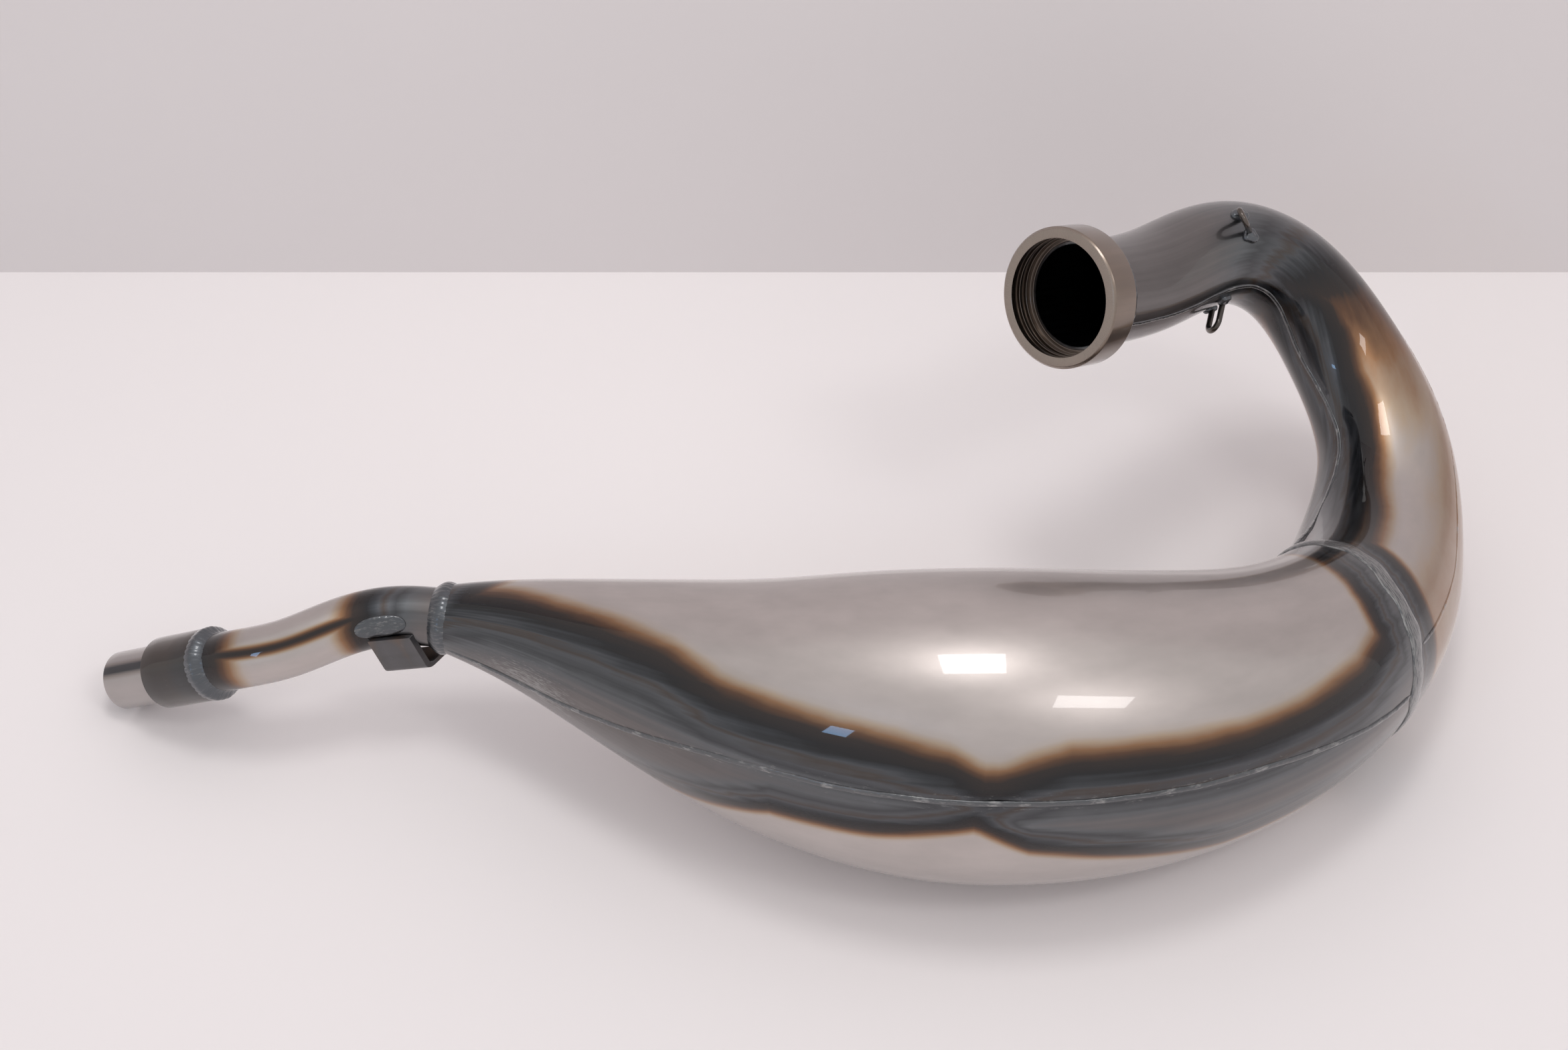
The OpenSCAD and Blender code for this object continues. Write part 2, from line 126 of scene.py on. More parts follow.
# Widths, lengths and slopes of the heat tint, in millimetres and degrees.
FRONT_LOW_GAIN = 1.8
BACK_BAND = 24
BACK_BAND_WAVE = 4
BACK_WAVE_L = 31
CONE_TINT_AT = 724
CONE_TINT_LEAN = 8
CONE_LEAN_TO = 200
RING_TINT_BELLY = 22
RING_TINT_HEADER = 17
RING_GAIN = 1.7
INNER_BAND = 42
INNER_BAND_WAVE = 4
INNER_WAVE_L = 23
OUTER_BAND = 26
OUTER_GAIN = 0.3
OUTER_TOP = 1.6
OUTER_DROP = 1.5
ELBOW_TINT_AT = 186
ELBOW_TINT_LEAN = 16
ELBOW_LEAN_TO = 60
ELBOW_GAIN = 0.10
ELBOW_KNEE = 4.5
ELBOW_DEEP_GAIN = 3
STINGER_TINT = 38
STINGER_TINT_LEAN = 7
STINGER_LEAN_TO = 20
COLLAR_TINT = 17
STRIPE_HALF = 12
STRIPE_GAIN = 3.4
STINGER_STRIPE_AT = 53
TAIL_STRIPE_AT = 60
INSIDE_HEAT = 14

# Unevenness of the formed sheet: depths in millimetres and places along and round the pipe.
CREASE_DEPTH = 0.7
CREASE_AT = 514
CREASE_OFF = 10
CREASE_REACH = (5.0, 16)
VALLEY_DEPTH = 0.10
VALLEY_REACH = 4.5
WAVE_DEPTH = 0.16
FOLD_DEPTH = 0.15
FOLD_REACH = 7
PUCKERS = [
    (0.8, 172, 128, 9, 16),
    (0.6, 206, 124, 7, 14),
]
DENT_MARGIN = 8
DENT_FADE = 20

# Where the scale is rubbed: shares, places along and round the pipe, and reaches.
CONE_RUB = (700, 0, 34, 26)
FRONT_RUB = 0.55
FRONT_RUB_FROM = 380
FRONT_RUB_REACH = 5
RING_RUB = 0.35
RING_RUB_OFF = 6
RING_RUB_REACH = 6
INNER_RUB = 0.45
INNER_RUB_FROM = 130
INNER_RUB_REACH = 14

# Beads: steps, points of a section, depth sunk in the sheet, and depth of their tint.
SEAM_STEP = 0.55
SEAM_POINTS = 11
SEAM_SUNK = 0.25
SEAM_TAPER = 3
SEAM_HEAT_FROM = 12
SEAM_HEAT = 30.0
RING_STEPS = 640
RING_POINTS = 17
RING_RADIUS = 43
RING_HEAT = 24
RING_PITCH = 3.4
STINGER_STEPS = (150, 96)


def spline_bends(x, y):
    """Second derivatives of the natural cubic spline through y over x."""
    n = len(x)
    h = np.diff(x)
    matrix = np.eye(n)
    right = np.zeros((n,) + y.shape[1:])
    for i in range(1, n - 1):
        matrix[i, i - 1:i + 2] = h[i - 1], 2 * (h[i - 1] + h[i]), h[i]
        right[i] = 6 * ((y[i + 1] - y[i]) / h[i] - (y[i] - y[i - 1]) / h[i - 1])
    return np.linalg.solve(matrix, right)


def spline_at(x, y, bends, t, slope=False):
    """Value or slope of that spline at each t."""
    i = np.clip(np.searchsorted(x, t, side="right") - 1, 0, len(x) - 2)
    h = x[i + 1] - x[i]
    a = (x[i + 1] - t) / h
    if y.ndim > 1:
        h = h[..., None]
        a = a[..., None]
    b = 1 - a
    if slope:
        return (y[i + 1] - y[i]) / h + ((3 * b * b - 1) * bends[i + 1] - (3 * a * a - 1) * bends[i]) * h / 6
    return a * y[i] + b * y[i + 1] + ((a ** 3 - a) * bends[i] + (b ** 3 - b) * bends[i + 1]) * h * h / 6


STATIONS = np.concatenate([[0], np.cumsum(np.linalg.norm(np.diff(ROUTE, axis=0), axis=1))])
ROUTE_BENDS = spline_bends(STATIONS, ROUTE)
CONE_END_R = TUBE_R + SLIP + WALL
RADII = np.array([d / 2 for d in SHELL_DIAMETERS] + [CONE_END_R])
SHELL_STATIONS = STATIONS[:len(RADII)]
RADIUS_BENDS = spline_bends(SHELL_STATIONS, RADII)
PATH_END = STATIONS[-1]
CONE_END = SHELL_STATIONS[-1]


def unit(v):
    """The vectors, each brought to length 1."""
    return v / np.linalg.norm(v, axis=-1, keepdims=True)


def travel(s):
    """Direction of the path at s."""
    return unit(spline_at(STATIONS, ROUTE, ROUTE_BENDS, np.clip(s, 0, PATH_END), slope=True))


def centre(s):
    """Point of the path at s, on a straight line beyond its ends."""
    s = np.asarray(s, float)
    t = np.clip(s, 0, PATH_END)
    return spline_at(STATIONS, ROUTE, ROUTE_BENDS, t) + (s - t)[..., None] * travel(t)


def path_frame(s):
    """Directions at s: to the outside of the bend, square to it, and along the path."""
    z = travel(s)
    x = unit(np.cross([0.0, 0.0, 1.0], z))
    return x, np.cross(z, x), z


def skin(s, angle, r):
    """Points at path distance s, angle in degrees and radius r."""
    s, angle, r = np.broadcast_arrays(np.asarray(s, float), np.asarray(angle, float), np.asarray(r, float))
    x, y, _ = path_frame(s)
    a = np.radians(angle)[..., None]
    return centre(s) + r[..., None] * (np.cos(a) * x + np.sin(a) * y)


def shell_r(s):
    """Outer radius of the sheet at s."""
    return spline_at(SHELL_STATIONS, RADII, RADIUS_BENDS, np.clip(s, 0, CONE_END))


def ring_s(angle):
    """Path distance of the leaning ring joint at an angle round the pipe."""
    return RING_AT + RING_LEAN * np.cos(np.radians(angle))


def station(n):
    """Path distance of a place between two stations, counted from 0."""
    i = int(n)
    return STATIONS[i] + (n - i) * (STATIONS[min(i + 1, len(STATIONS) - 1)] - STATIONS[i])


def ease(u):
    return (1 - np.cos(np.pi * np.clip(u, 0, 1))) / 2


def turned(s, a, b, first, last):
    """An angle that eases from a to b between two stations."""
    return a + (b - a) * ease((s - station(first)) / (station(last) - station(first)))


def outer_seam(s):
    return OUTER_SEAM + 0 * s


def inner_seam(s):
    return turned(s, *INNER_SEAM, *INNER_TURN)


def front_seam(s):
    first, middle, last = FRONT_SEAM
    return turned(s, turned(s, first, middle, *FRONT_TURN), last, *FRONT_FALL)


def back_seam(s):
    return BACK_SEAM + 0 * s


# Upper and lower edges of the tint along the belly's front seam: path distances and angles.
BELLY_TOP_S = [357, 381, 409, 437, 467, 492, 504, 513, 518, 528, 545, 572, 592, 614, 639, 695, 740]
BELLY_TOP_A = [62, 48, 43, 40, 40.5, 40.5, 37, 33, 33, 39, 43, 47, 50, 55, 66, 84, 110]
BELLY_LOW_S = [357, 408, 436, 475, 503, 520, 531, 553, 589, 632, 685, 740]
BELLY_LOW_A = [-28, -21, -21, -10, -3, 8, 5, 0, -3, -27, -60, -110]
# Upper edge of the tint along the header's inner seam, the same way.
HEADER_S = [100, 121, 148, 163, 187, 205, 227, 257, 295, 330]
HEADER_A = [170, 138, 115, 109, 112, 107, 101, 94, 87, 83]


def wrapped(angle, middle):
    """The angle from the middle, between -180 and 180 degrees."""
    return (angle - middle + 180) % 360 - 180


def heat_of(s, angle):
    """How far inside the tinted zones a point lies, in millimetres, below 0 on bare sheet."""
    r = np.where(s < CONE_END, shell_r(s), TUBE_R)
    arc = r * math.pi / 180
    ring = ring_s(angle)
    belly = s > ring
    seam = front_seam(s)
    off = wrapped(angle, seam)
    top = np.interp(s, BELLY_TOP_S, BELLY_TOP_A) - seam
    low = np.interp(s, BELLY_LOW_S, BELLY_LOW_A) - seam
    front = np.minimum(top - off, (off - low) * FRONT_LOW_GAIN) * arc
    back_off = np.abs(wrapped(angle, back_seam(s)))
    back = (BACK_BAND + BACK_BAND_WAVE * np.sin(s / BACK_WAVE_L) - back_off) * arc
    cone = s - CONE_TINT_AT + CONE_TINT_LEAN * np.cos(np.radians(angle - CONE_LEAN_TO))
    ring_belly = (RING_TINT_BELLY - (s - ring)) * RING_GAIN
    of_belly = np.maximum(np.maximum(front, back), np.maximum(cone, ring_belly))
    inner = inner_seam(s)
    off = wrapped(angle, inner)
    high = np.interp(s, HEADER_S, HEADER_A) - inner
    in_edge = INNER_BAND + INNER_BAND_WAVE * np.sin(s / INNER_WAVE_L)
    in_band = np.minimum(off - high, in_edge - off) * arc
    out_off = np.abs(wrapped(angle, outer_seam(s)))
    out_band = np.minimum((OUTER_BAND - out_off) * arc * OUTER_GAIN, OUTER_TOP) - OUTER_DROP
    ring_header = (RING_TINT_HEADER - (ring - s)) * RING_GAIN
    elbow_lean = ELBOW_TINT_LEAN * np.cos(np.radians(angle - ELBOW_LEAN_TO))
    elbow = (ELBOW_TINT_AT - s + elbow_lean) * ELBOW_GAIN
    elbow = elbow + np.maximum(elbow - ELBOW_KNEE, 0) * ELBOW_DEEP_GAIN
    of_header = np.maximum(np.maximum(in_band, out_band), np.maximum(ring_header, elbow))
    return np.where(belly, of_belly, of_header)


def stripe_heat(angle, middle):
    """The narrow tinted stripe along a rolled tube's own seam."""
    return (STRIPE_HALF - np.abs(wrapped(angle, middle))) * TUBE_R * math.pi / 180 * STRIPE_GAIN


def stinger_heat(s, angle):
    """Tinted at the cone, before the collar and along the tube's own seam."""
    lean = STINGER_TINT_LEAN * np.cos(np.radians(angle - STINGER_LEAN_TO))
    front = (CONE_END + STINGER_TINT - s) + lean
    back = s - (PATH_END - COLLAR_TINT)
    return np.maximum(np.maximum(front, back), stripe_heat(angle, STINGER_STRIPE_AT))


def make_object(name, points, faces, attributes, smooth_angle=35):
    """A mesh object from points in millimetres, with point attributes by name."""
    mesh = bpy.data.meshes.new(name)
    points = np.asarray(points, float).reshape(-1, 3) / MM_IN_M
    mesh.from_pydata(points.tolist(), [], faces)
    mesh.update()
    for key, values in attributes.items():
        values = np.asarray(values, np.float32)
        if values.ndim == 1:
            layer = mesh.attributes.new(key, "FLOAT", "POINT")
            layer.data.foreach_set("value", values)
        else:
            layer = mesh.attributes.new(key, "FLOAT_VECTOR", "POINT")
            layer.data.foreach_set("vector", values.ravel())
    for polygon in mesh.polygons:
        polygon.use_smooth = True
    mesh.set_sharp_from_angle(angle=math.radians(smooth_angle))
    piece = bpy.data.objects.new(name, mesh)
    bpy.context.scene.collection.objects.link(piece)
    return piece


def loop_faces(rows, cols, closed_rows):
    """Quads over closed sections of cols points each."""
    faces = []
    for i in range(rows if closed_rows else rows - 1):
        a = i * cols
        b = (i + 1) % rows * cols
        for j in range(cols):
            k = (j + 1) % cols
            faces.append((a + j, b + j, b + k, a + k))
    return faces


def facing_out(points, faces):
    """The faces, all turned so that the closed mesh has a positive volume."""
    p = np.asarray(points, float).reshape(-1, 3)
    total = 0.0
    for size in sorted({len(f) for f in faces}):
        f = np.array([g for g in faces if len(g) == size])
        for k in range(1, size - 1):
            total += np.einsum("ij,ij->i", p[f[:, 0]], np.cross(p[f[:, k]], p[f[:, k + 1]])).sum()
    return [f[::-1] for f in faces] if total < 0 else faces


def swept(name, sections, attributes, closed=False, strip_caps=False, smooth_angle=35):
    """A solid through closed sections, rows by points, with capped ends or joined into a loop."""
    rows, cols = sections.shape[:2]
    faces = loop_faces(rows, cols, closed)
    if not closed and strip_caps:
        half = cols // 2
        for base, flip in ((0, False), ((rows - 1) * cols, True)):
            for j in range(half - 1):
                quad = (base + j, base + j + 1, base + cols - 2 - j, base + cols - 1 - j)
                faces.append(quad[::-1] if flip else quad)
    elif not closed:
        faces.append(tuple(range(cols)))
        faces.append(tuple(range(rows * cols - 1, (rows - 1) * cols - 1, -1)))
    return make_object(name, sections, facing_out(sections, faces), attributes, smooth_angle)


def flat_attributes(s, angle, r, heat, rub_and_glint):
    """The attributes that the materials read, from arrays that fit one shape."""
    s, angle, r, heat = np.broadcast_arrays(s, angle, r, heat)
    pipe = np.stack([s / 10, np.radians(angle) * np.mean(r) / 10, r / 10], -1).reshape(-1, 3)
    return {"pipe": pipe, "scorch": heat.ravel(), "rub_and_glint": np.broadcast_to(rub_and_glint, heat.shape).ravel()}


def bump_at(s, angle, at_s, at_angle, wide_s, wide_a):
    """A soft hump of height 1."""
    return np.exp(-((s - at_s) / wide_s) ** 2 - (wrapped(angle, at_angle) / wide_a) ** 2)


def dents(s, angle):
    """Slight unevenness of the formed sheet, inwards, in millimetres."""
    off = wrapped(angle, front_seam(s))
    belly = s > ring_s(angle)
    along = np.exp(-((s - CREASE_AT) / CREASE_REACH[0]) ** 2)
    crease = CREASE_DEPTH * along * np.exp(-((off - CREASE_OFF) / CREASE_REACH[1]) ** 2)
    uneven = 1 + 0.6 * np.sin(s / 7.3) * np.sin(s / 3.1)
    valley = VALLEY_DEPTH * np.exp(-(off / VALLEY_REACH) ** 2) * uneven
    turn = np.radians(angle)
    wave = WAVE_DEPTH * (1 + np.sin(s / 17 + turn * 2) * np.sin(s / 41 - turn))
    inner = wrapped(angle, inner_seam(s))
    fold = FOLD_DEPTH * np.exp(-(inner / FOLD_REACH) ** 2) * (1 + np.sin(s / 5.7))
    pucker = sum(depth * bump_at(s, angle, *place) for depth, *place in PUCKERS)
    return wave + np.where(belly, crease + valley, 0.6 * fold + pucker)


def rub_of(s, angle):
    """How much of the scale is rubbed off the sheet, from 0 to 1."""
    front = wrapped(angle, front_seam(s))
    inner = wrapped(angle, inner_seam(s))
    rub_and_glint = bump_at(s, angle, *CONE_RUB)
    along_front = FRONT_RUB * np.exp(-(front / FRONT_RUB_REACH) ** 2) * (s > FRONT_RUB_FROM)
    from_ring = np.abs(s - ring_s(angle)) - RING_RUB_OFF
    beside_ring = RING_RUB * np.exp(-(from_ring / RING_RUB_REACH) ** 2)
    along_inner = INNER_RUB * np.exp(-(inner / INNER_RUB_REACH) ** 2)
    along_inner = along_inner * (s < RING_AT) * (s > INNER_RUB_FROM)
    return np.maximum(np.maximum(rub_and_glint, along_front), np.maximum(beside_ring, along_inner))


def there_and_back(rows):
    """Each row followed by itself in reverse, as the sheet's section runs."""
    return np.concatenate([rows, rows[:, ::-1]], 1)


def shell_piece(name, node, start, stop, seam_a, seam_b, step_s, step_a):
    """One pressed half as a smooth sheet, closed all round."""
    nominal = np.linspace(start(90.0), stop(90.0), int((stop(90.0) - start(90.0)) / step_s))
    u = (nominal - nominal[0]) / (nominal[-1] - nominal[0])
    cols = int(np.max(seam_b(nominal) - seam_a(nominal)) / step_a)
    v = np.linspace(0, 1, cols)[None, :]
    a, b = seam_a(nominal)[:, None], seam_b(nominal)[:, None]
    angle = a + (b - a) * v
    s = start(angle) + (stop(angle) - start(angle)) * u[:, None]
    from_ends = np.minimum(s + SOCKET_L - DENT_MARGIN, CONE_END - s - DENT_MARGIN)
    fade = np.clip(from_ends / DENT_FADE, 0, 1)
    r = shell_r(s) - dents(s, angle) * fade
    outer = skin(s, angle, r)
    inner = skin(s, angle, r - WALL)[:, ::-1]
    sections = np.concatenate([outer, inner], 1)
    heat = np.concatenate([heat_of(s, angle), INSIDE_HEAT + 3 * np.sin(s / 9)], 1)
    s, angle, r, rub_and_glint = (there_and_back(rows) for rows in (s, angle, r, rub_of(s, angle)))
    attributes = flat_attributes(s, angle, r, heat, rub_and_glint)
    piece = swept(name, sections, attributes, strip_caps=True)
    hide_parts(node)
    return piece


def ripple(t, pitch, seed):
    """Height share along a hand-laid bead: overlapping puddles of slightly uneven length."""
    count = int((t.max() - t.min()) / pitch) + 3
    rng = np.random.default_rng(seed)
    edges = t.min() - pitch + np.cumsum(pitch * (0.75 + 0.5 * rng.random(count + 2)))
    i = np.clip(np.searchsorted(edges, t) - 1, 0, len(edges) - 2)
    x = np.clip((t - edges[i]) / (edges[i + 1] - edges[i]), 0, 1)
    size = 0.85 + 0.3 * rng.random(len(edges))[i]
    return size * (0.72 + 0.28 * np.sin(np.pi * x) ** 0.7)


def bead_profile(points):
    """Half-round section from -0.5 to 0.5 across, and its height share, then its flat base."""
    across = -0.5 * np.cos(np.linspace(0, math.pi, points))
    height = np.sqrt(np.clip(1 - (2 * across) ** 2, 0, 1)) ** 0.8
    base = across[::-1][1:-1]
    return np.concatenate([across, base]), np.concatenate([height, 0 * base])


def seam_piece(name, node, start, stop, seam, margin_start, margin_stop, pitch, seed, share=1.0):
    """A low bead along a seam, with painted glints on its crest; share of its full height is a number or a
    function of s.
    """
    first = start(seam(start(90.0))) + margin_start
    last = stop(seam(stop(90.0))) - margin_stop
    s = np.arange(first, last, SEAM_STEP)
    across, height = bead_profile(SEAM_POINTS)
    wobble = 0.12 * np.sin(s / 6.1) + 0.06 * np.sin(s / 2.7 + 1)
    tall = ripple(s, pitch, seed)
    share = share(s) if callable(share) else share + 0 * s
    width = SEAM_W * (0.4 + 0.6 * share) * (0.82 + 0.18 * ripple(s, pitch * 2.3, seed + 5))
    taper = np.sqrt(np.clip(np.minimum(s - first, last - s) / SEAM_TAPER, 0.02, 1))
    r = shell_r(s)
    arc = (across[None, :] * (width * taper)[:, None] + wobble[:, None]) * 180 / math.pi / r[:, None]
    seated = np.where(height > 0, 0.0, -SEAM_SUNK)
    raised = height[None, :] * ((SEAM_H * share + SEAM_SUNK) * tall * taper)[:, None]
    rr = r[:, None] - SEAM_SUNK + seated[None, :] + raised
    angle = seam(s)[:, None] + arc
    sections = skin(s[:, None], angle, rr)
    # Painted glints: light dashes along the bead's crest, passed on as rub so the steel is painted the pale
    # rubbed grey there. They stand in for highlights, not rubbed scale.
    painted_glint = np.clip(np.sin(s / 1.7) + np.sin(s / 4.3 + 2) - 0.4, 0, 1)[:, None] * height[None, :]
    heat = heat_of(s[:, None], angle)
    heat = np.where(heat > SEAM_HEAT_FROM, SEAM_HEAT, heat)
    attributes = flat_attributes(s[:, None], angle, rr, heat, 0.5 + 0.5 * painted_glint)
    piece = swept(name, sections, attributes, smooth_angle=60)
    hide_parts(node)
    return piece


def ring_piece(name, node):
    """The wide hand-laid weld round the leaning ring joint."""
    angle = np.arange(RING_STEPS) * 360 / RING_STEPS
    turn = np.radians(angle)
    along = turn * RING_RADIUS
    across, height = bead_profile(RING_POINTS)
    tall = 0.5 + 0.10 * ripple(along, RING_PITCH, 11)
    tall[-1] = tall[0]
    wobble = 0.5 * np.sin(turn * 7) + 0.3 * np.sin(turn * 17)
    width = RING_W * (0.9 + 0.1 * np.sin(turn * 11))
    s = ring_s(angle)[:, None] + across[None, :] * width[:, None] + wobble[:, None]
    waves = 0.06 * np.sin(across * 26)[None, :] * np.sin(along * 0.9)[:, None]
    base = np.where(height > 0, 0.0, -0.5)[None, :]
    r = shell_r(s) - 0.3 + base + height[None, :] * (RING_H * tall[:, None] + waves)
    sections = skin(s, angle[:, None], r)
    attributes = flat_attributes(s, angle[:, None], r, RING_HEAT + 5 * height[None, :], 1.0)
    round_it = np.stack([along[:, None] / 10 + 0 * r, 1.6 * across[None, :] + 0 * r, 0 * r], -1)
    attributes["pipe"] = round_it.reshape(-1, 3)
    piece = swept(name, sections, attributes, closed=True, smooth_angle=60)
    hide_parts(node)
    return piece


def rounded(profile, radius, steps=4):
    """A closed profile of (r, z) points with its corners rounded."""
    p = np.array(profile, float)
    out = []
    for i in range(len(p)):
        a, b, c = p[i - 1], p[i], p[(i + 1) % len(p)]
        u, v = unit(a - b), unit(c - b)
        reach = min(radius, 0.4 * np.linalg.norm(a - b), 0.4 * np.linalg.norm(c - b))
        for k in range(steps + 1):
            t = k / steps
            out.append(b + u * reach * (1 - t) ** 2 + v * reach * t ** 2)
    return np.array(out)


def lathe(name, node, origin_s, profile, segments, heat, rub_and_glint=0.0, uneven=None, smooth_angle=28):
    """A turned solid on the straight line at a path distance, from a closed profile of (r, z)."""
    x, y, z = path_frame(np.array(float(origin_s)))
    o = centre(np.array(float(origin_s)))
    angle = np.arange(segments) * 360 / segments
    a = np.radians(angle)[:, None, None]
    r = np.broadcast_to(profile[None, :, 0], (segments, len(profile))).copy()
    h = np.broadcast_to(profile[None, :, 1], r.shape)
    if uneven is not None:
        r += uneven(angle[:, None], h, r)
    sections = o + r[..., None] * (np.cos(a) * x + np.sin(a) * y) + h[..., None] * z
    values = heat(angle[:, None], h, r) if callable(heat) else heat + 0 * r
    attributes = flat_attributes(origin_s + h, angle[:, None], r, values, rub_and_glint)
    piece = swept(name, sections, attributes, closed=True, smooth_angle=smooth_angle)
    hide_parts(node)
    return piece


def flange_profile():
    """Turned section with the socket behind, two seal grooves in the bore and chamfers."""
    bore = FLANGE_BORE_D / 2
    root = bore + GROOVE_DEPTH
    out = FLANGE_D / 2
    seat = SHELL_DIAMETERS[0] / 2 + SLIP
    mouth = -FLANGE_L
    points = [
        [seat, 0],
        [out - 2 * FLANGE_CHAMFER, 0],
        [out, -2 * FLANGE_CHAMFER],
        [out, mouth + FLANGE_CHAMFER],
        [out - FLANGE_CHAMFER, mouth],
        [bore, mouth],
    ]
    for g in GROOVES:
        near = mouth + g
        far = near + GROOVE_W
        points += [[bore, near], [root, near], [root, far], [bore, far]]
    points += [[bore, -SOCKET_L], [seat, -SOCKET_L]]
    return rounded(points, 0.35)


def weld_uneven(pitch, radius, depth, seed):
    """Ripples round a turned weld: a function of angle, height and radius."""
    def move(angle, h, r):
        along = np.radians(angle) * radius
        return depth * (ripple(along, pitch, seed) - 1) + 0 * h
    return move


def flange_weld_profile():
    """Fillet bead between the sheet and the flange's back, bulging a little."""
    root = SHELL_DIAMETERS[0] / 2 - 0.2
    u = np.linspace(0, 1, 14)
    bulge = 0.25 * np.sin(math.pi * u)
    arc = np.stack([root + 0.3 + FLANGE_LEG * (1 - u + bulge), 0.05 + FLANGE_LEG * (u + bulge)], -1)
    return np.concatenate([[[root, 0.05]], arc])


def joint_weld_profile():
    """Bead from the cone's end down to the stinger."""
    half = JOINT_W / 2
    u = np.linspace(0, 1, 18)
    high = shell_r(np.array(CONE_END - half)) - 0.1
    low = TUBE_R - 0.1
    arc = np.stack([high + (low - high) * u + JOINT_H * np.sin(math.pi * u), half * (2 * u - 1)], -1)
    return np.concatenate([arc, [[low - 0.3, 0.1], [high - 0.8, 0.0]]])


def collar_weld_profile():
    """Bead from the stinger up over the collar's edge, its bulge half the source's."""
    u = np.linspace(0, 1, 20)
    seat = TUBE_R - 0.1
    top = COLLAR_R - 0.1
    r = seat + (top - seat) * ease(1.6 * u) + COLLAR_WELD_H / 2 * np.sin(math.pi * u)
    arc = np.stack([r, -COLLAR_WELD_L + (COLLAR_WELD_L + 3) * u], -1)
    return np.concatenate([arc, [[top - 0.3, 0.0], [seat - 0.2, -0.1]]])


def stinger_piece():
    """The bent tube, open all along, with the low ridge of its own rolled seam."""
    rows, cols = STINGER_STEPS
    s = np.linspace(CONE_END - STINGER_INSERT, PATH_END + COLLAR_INSERT, rows)[:, None]
    angle = (np.arange(cols) * 360 / cols)[None, :]
    ridge = 0.18 * np.exp(-(wrapped(angle, STINGER_STRIPE_AT) / 5) ** 2)
    outer = TUBE_R - 0.1 + ridge + 0 * s
    sections_out = skin(s, angle, outer)
    sections_in = skin(s, angle, TUBE_IN + 0 * s)
    points = np.concatenate([sections_out.reshape(-1, 3), sections_in.reshape(-1, 3)])
    faces = []
    base = rows * cols
    for i in range(rows - 1):
        a = i * cols
        b = a + cols
        for j in range(cols):
            k = (j + 1) % cols
            faces.append((a + j, b + j, b + k, a + k))
            faces.append((base + a + k, base + b + k, base + b + j, base + a + j))
    for i, flip in ((0, True), (rows - 1, False)):
        for j in range(cols):
            k = (j + 1) % cols
            quad = (i * cols + j, base + i * cols + j, base + i * cols + k, i * cols + k)
            faces.append(quad[::-1] if flip else quad)
    heat = stinger_heat(s, angle)
    heat = np.concatenate([heat, 0 * heat + INSIDE_HEAT])
    s, angle, outer = (np.tile(np.broadcast_to(v, (rows, cols)), (2, 1)) for v in (s, angle, outer))
    attributes = flat_attributes(s, angle, outer, heat, 0.0)
    piece = make_object("stinger_pipe", points, facing_out(points, faces), attributes)
    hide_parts("stinger_tube")
    return piece


def folded_side(points, radius, steps=8):
    """One side of the folded sheet's section: two legs with a rounded fold between them."""
    a, b, c = (np.array(q, float) for q in points)
    u, v = unit(a - b), unit(c - b)
    arc = []
    for k in range(steps + 1):
        arc.append(b + u * radius * (1 - k / steps) ** 2 + v * radius * (k / steps) ** 2)
    spread = [0, 0.25, 0.5, 0.75]
    first = [a + (arc[0] - a) * k for k in spread]
    last = [c + (arc[-1] - c) * k for k in spread[::-1]]
    return first + arc + last


def bracket_piece():
    """Folded sheet: a leg down the stinger's outer side and a lip under it, its ends cut at a skew."""
    near = TUBE_R + BRACKET_CLEAR
    far = near + BRACKET_T
    low = -BRACKET_DROP
    edge = far - BRACKET_LIP
    inside = folded_side(([near, BRACKET_TOP], [near, low], [edge, low]), 1.6)
    outside = folded_side(([edge, low - BRACKET_T], [far, low - BRACKET_T], [far, BRACKET_TOP]), 3.4)
    ring = np.array(inside + outside)
    s = CONE_END + BRACKET_AT
    x, y, z = path_frame(np.array(s))
    o = centre(np.array(s))
    lip = math.radians(LIP_SKEW)
    leg = math.radians(LEG_SKEW)
    lean = math.tan(lip) * (ring[:, 0] - far) + math.tan(leg) / math.cos(lip) * ring[:, 1]
    centroid = ring.mean(0)
    rows = []
    shares = np.array([-0.5, -0.485, -0.4, -0.2, 0, 0.2, 0.4, 0.485, 0.5])
    for share in shares:
        flat = ring + (centroid - ring) * (0.012 if abs(share) > 0.49 else 0)
        along = share * (BRACKET_L - 0.05) + lean
        rows.append(o + flat[:, :1] * x + flat[:, 1:] * y + along[:, None] * z)
    sections = np.array(rows)
    run = np.concatenate([np.linspace(0, 26, len(inside)), np.linspace(26, 0, len(outside))])
    run = run[None, :] + 0 * shares[:, None]
    heat = 13 + 5 * np.sin(run / 5) + 4 * np.sin(shares[:, None] * 9)
    attributes = {
        "pipe": np.stack([s / 10 + shares[:, None] * 2 + 0 * run, run / 10, 0 * run], -1).reshape(-1, 3),
        "scorch": heat.ravel(),
        "rub_and_glint": np.full(rows[0].shape[0] * len(rows), 0.3),
    }
    piece = swept("folded_bracket", sections, attributes, strip_caps=True, smooth_angle=30)
    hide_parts("stinger_bracket")
    return piece


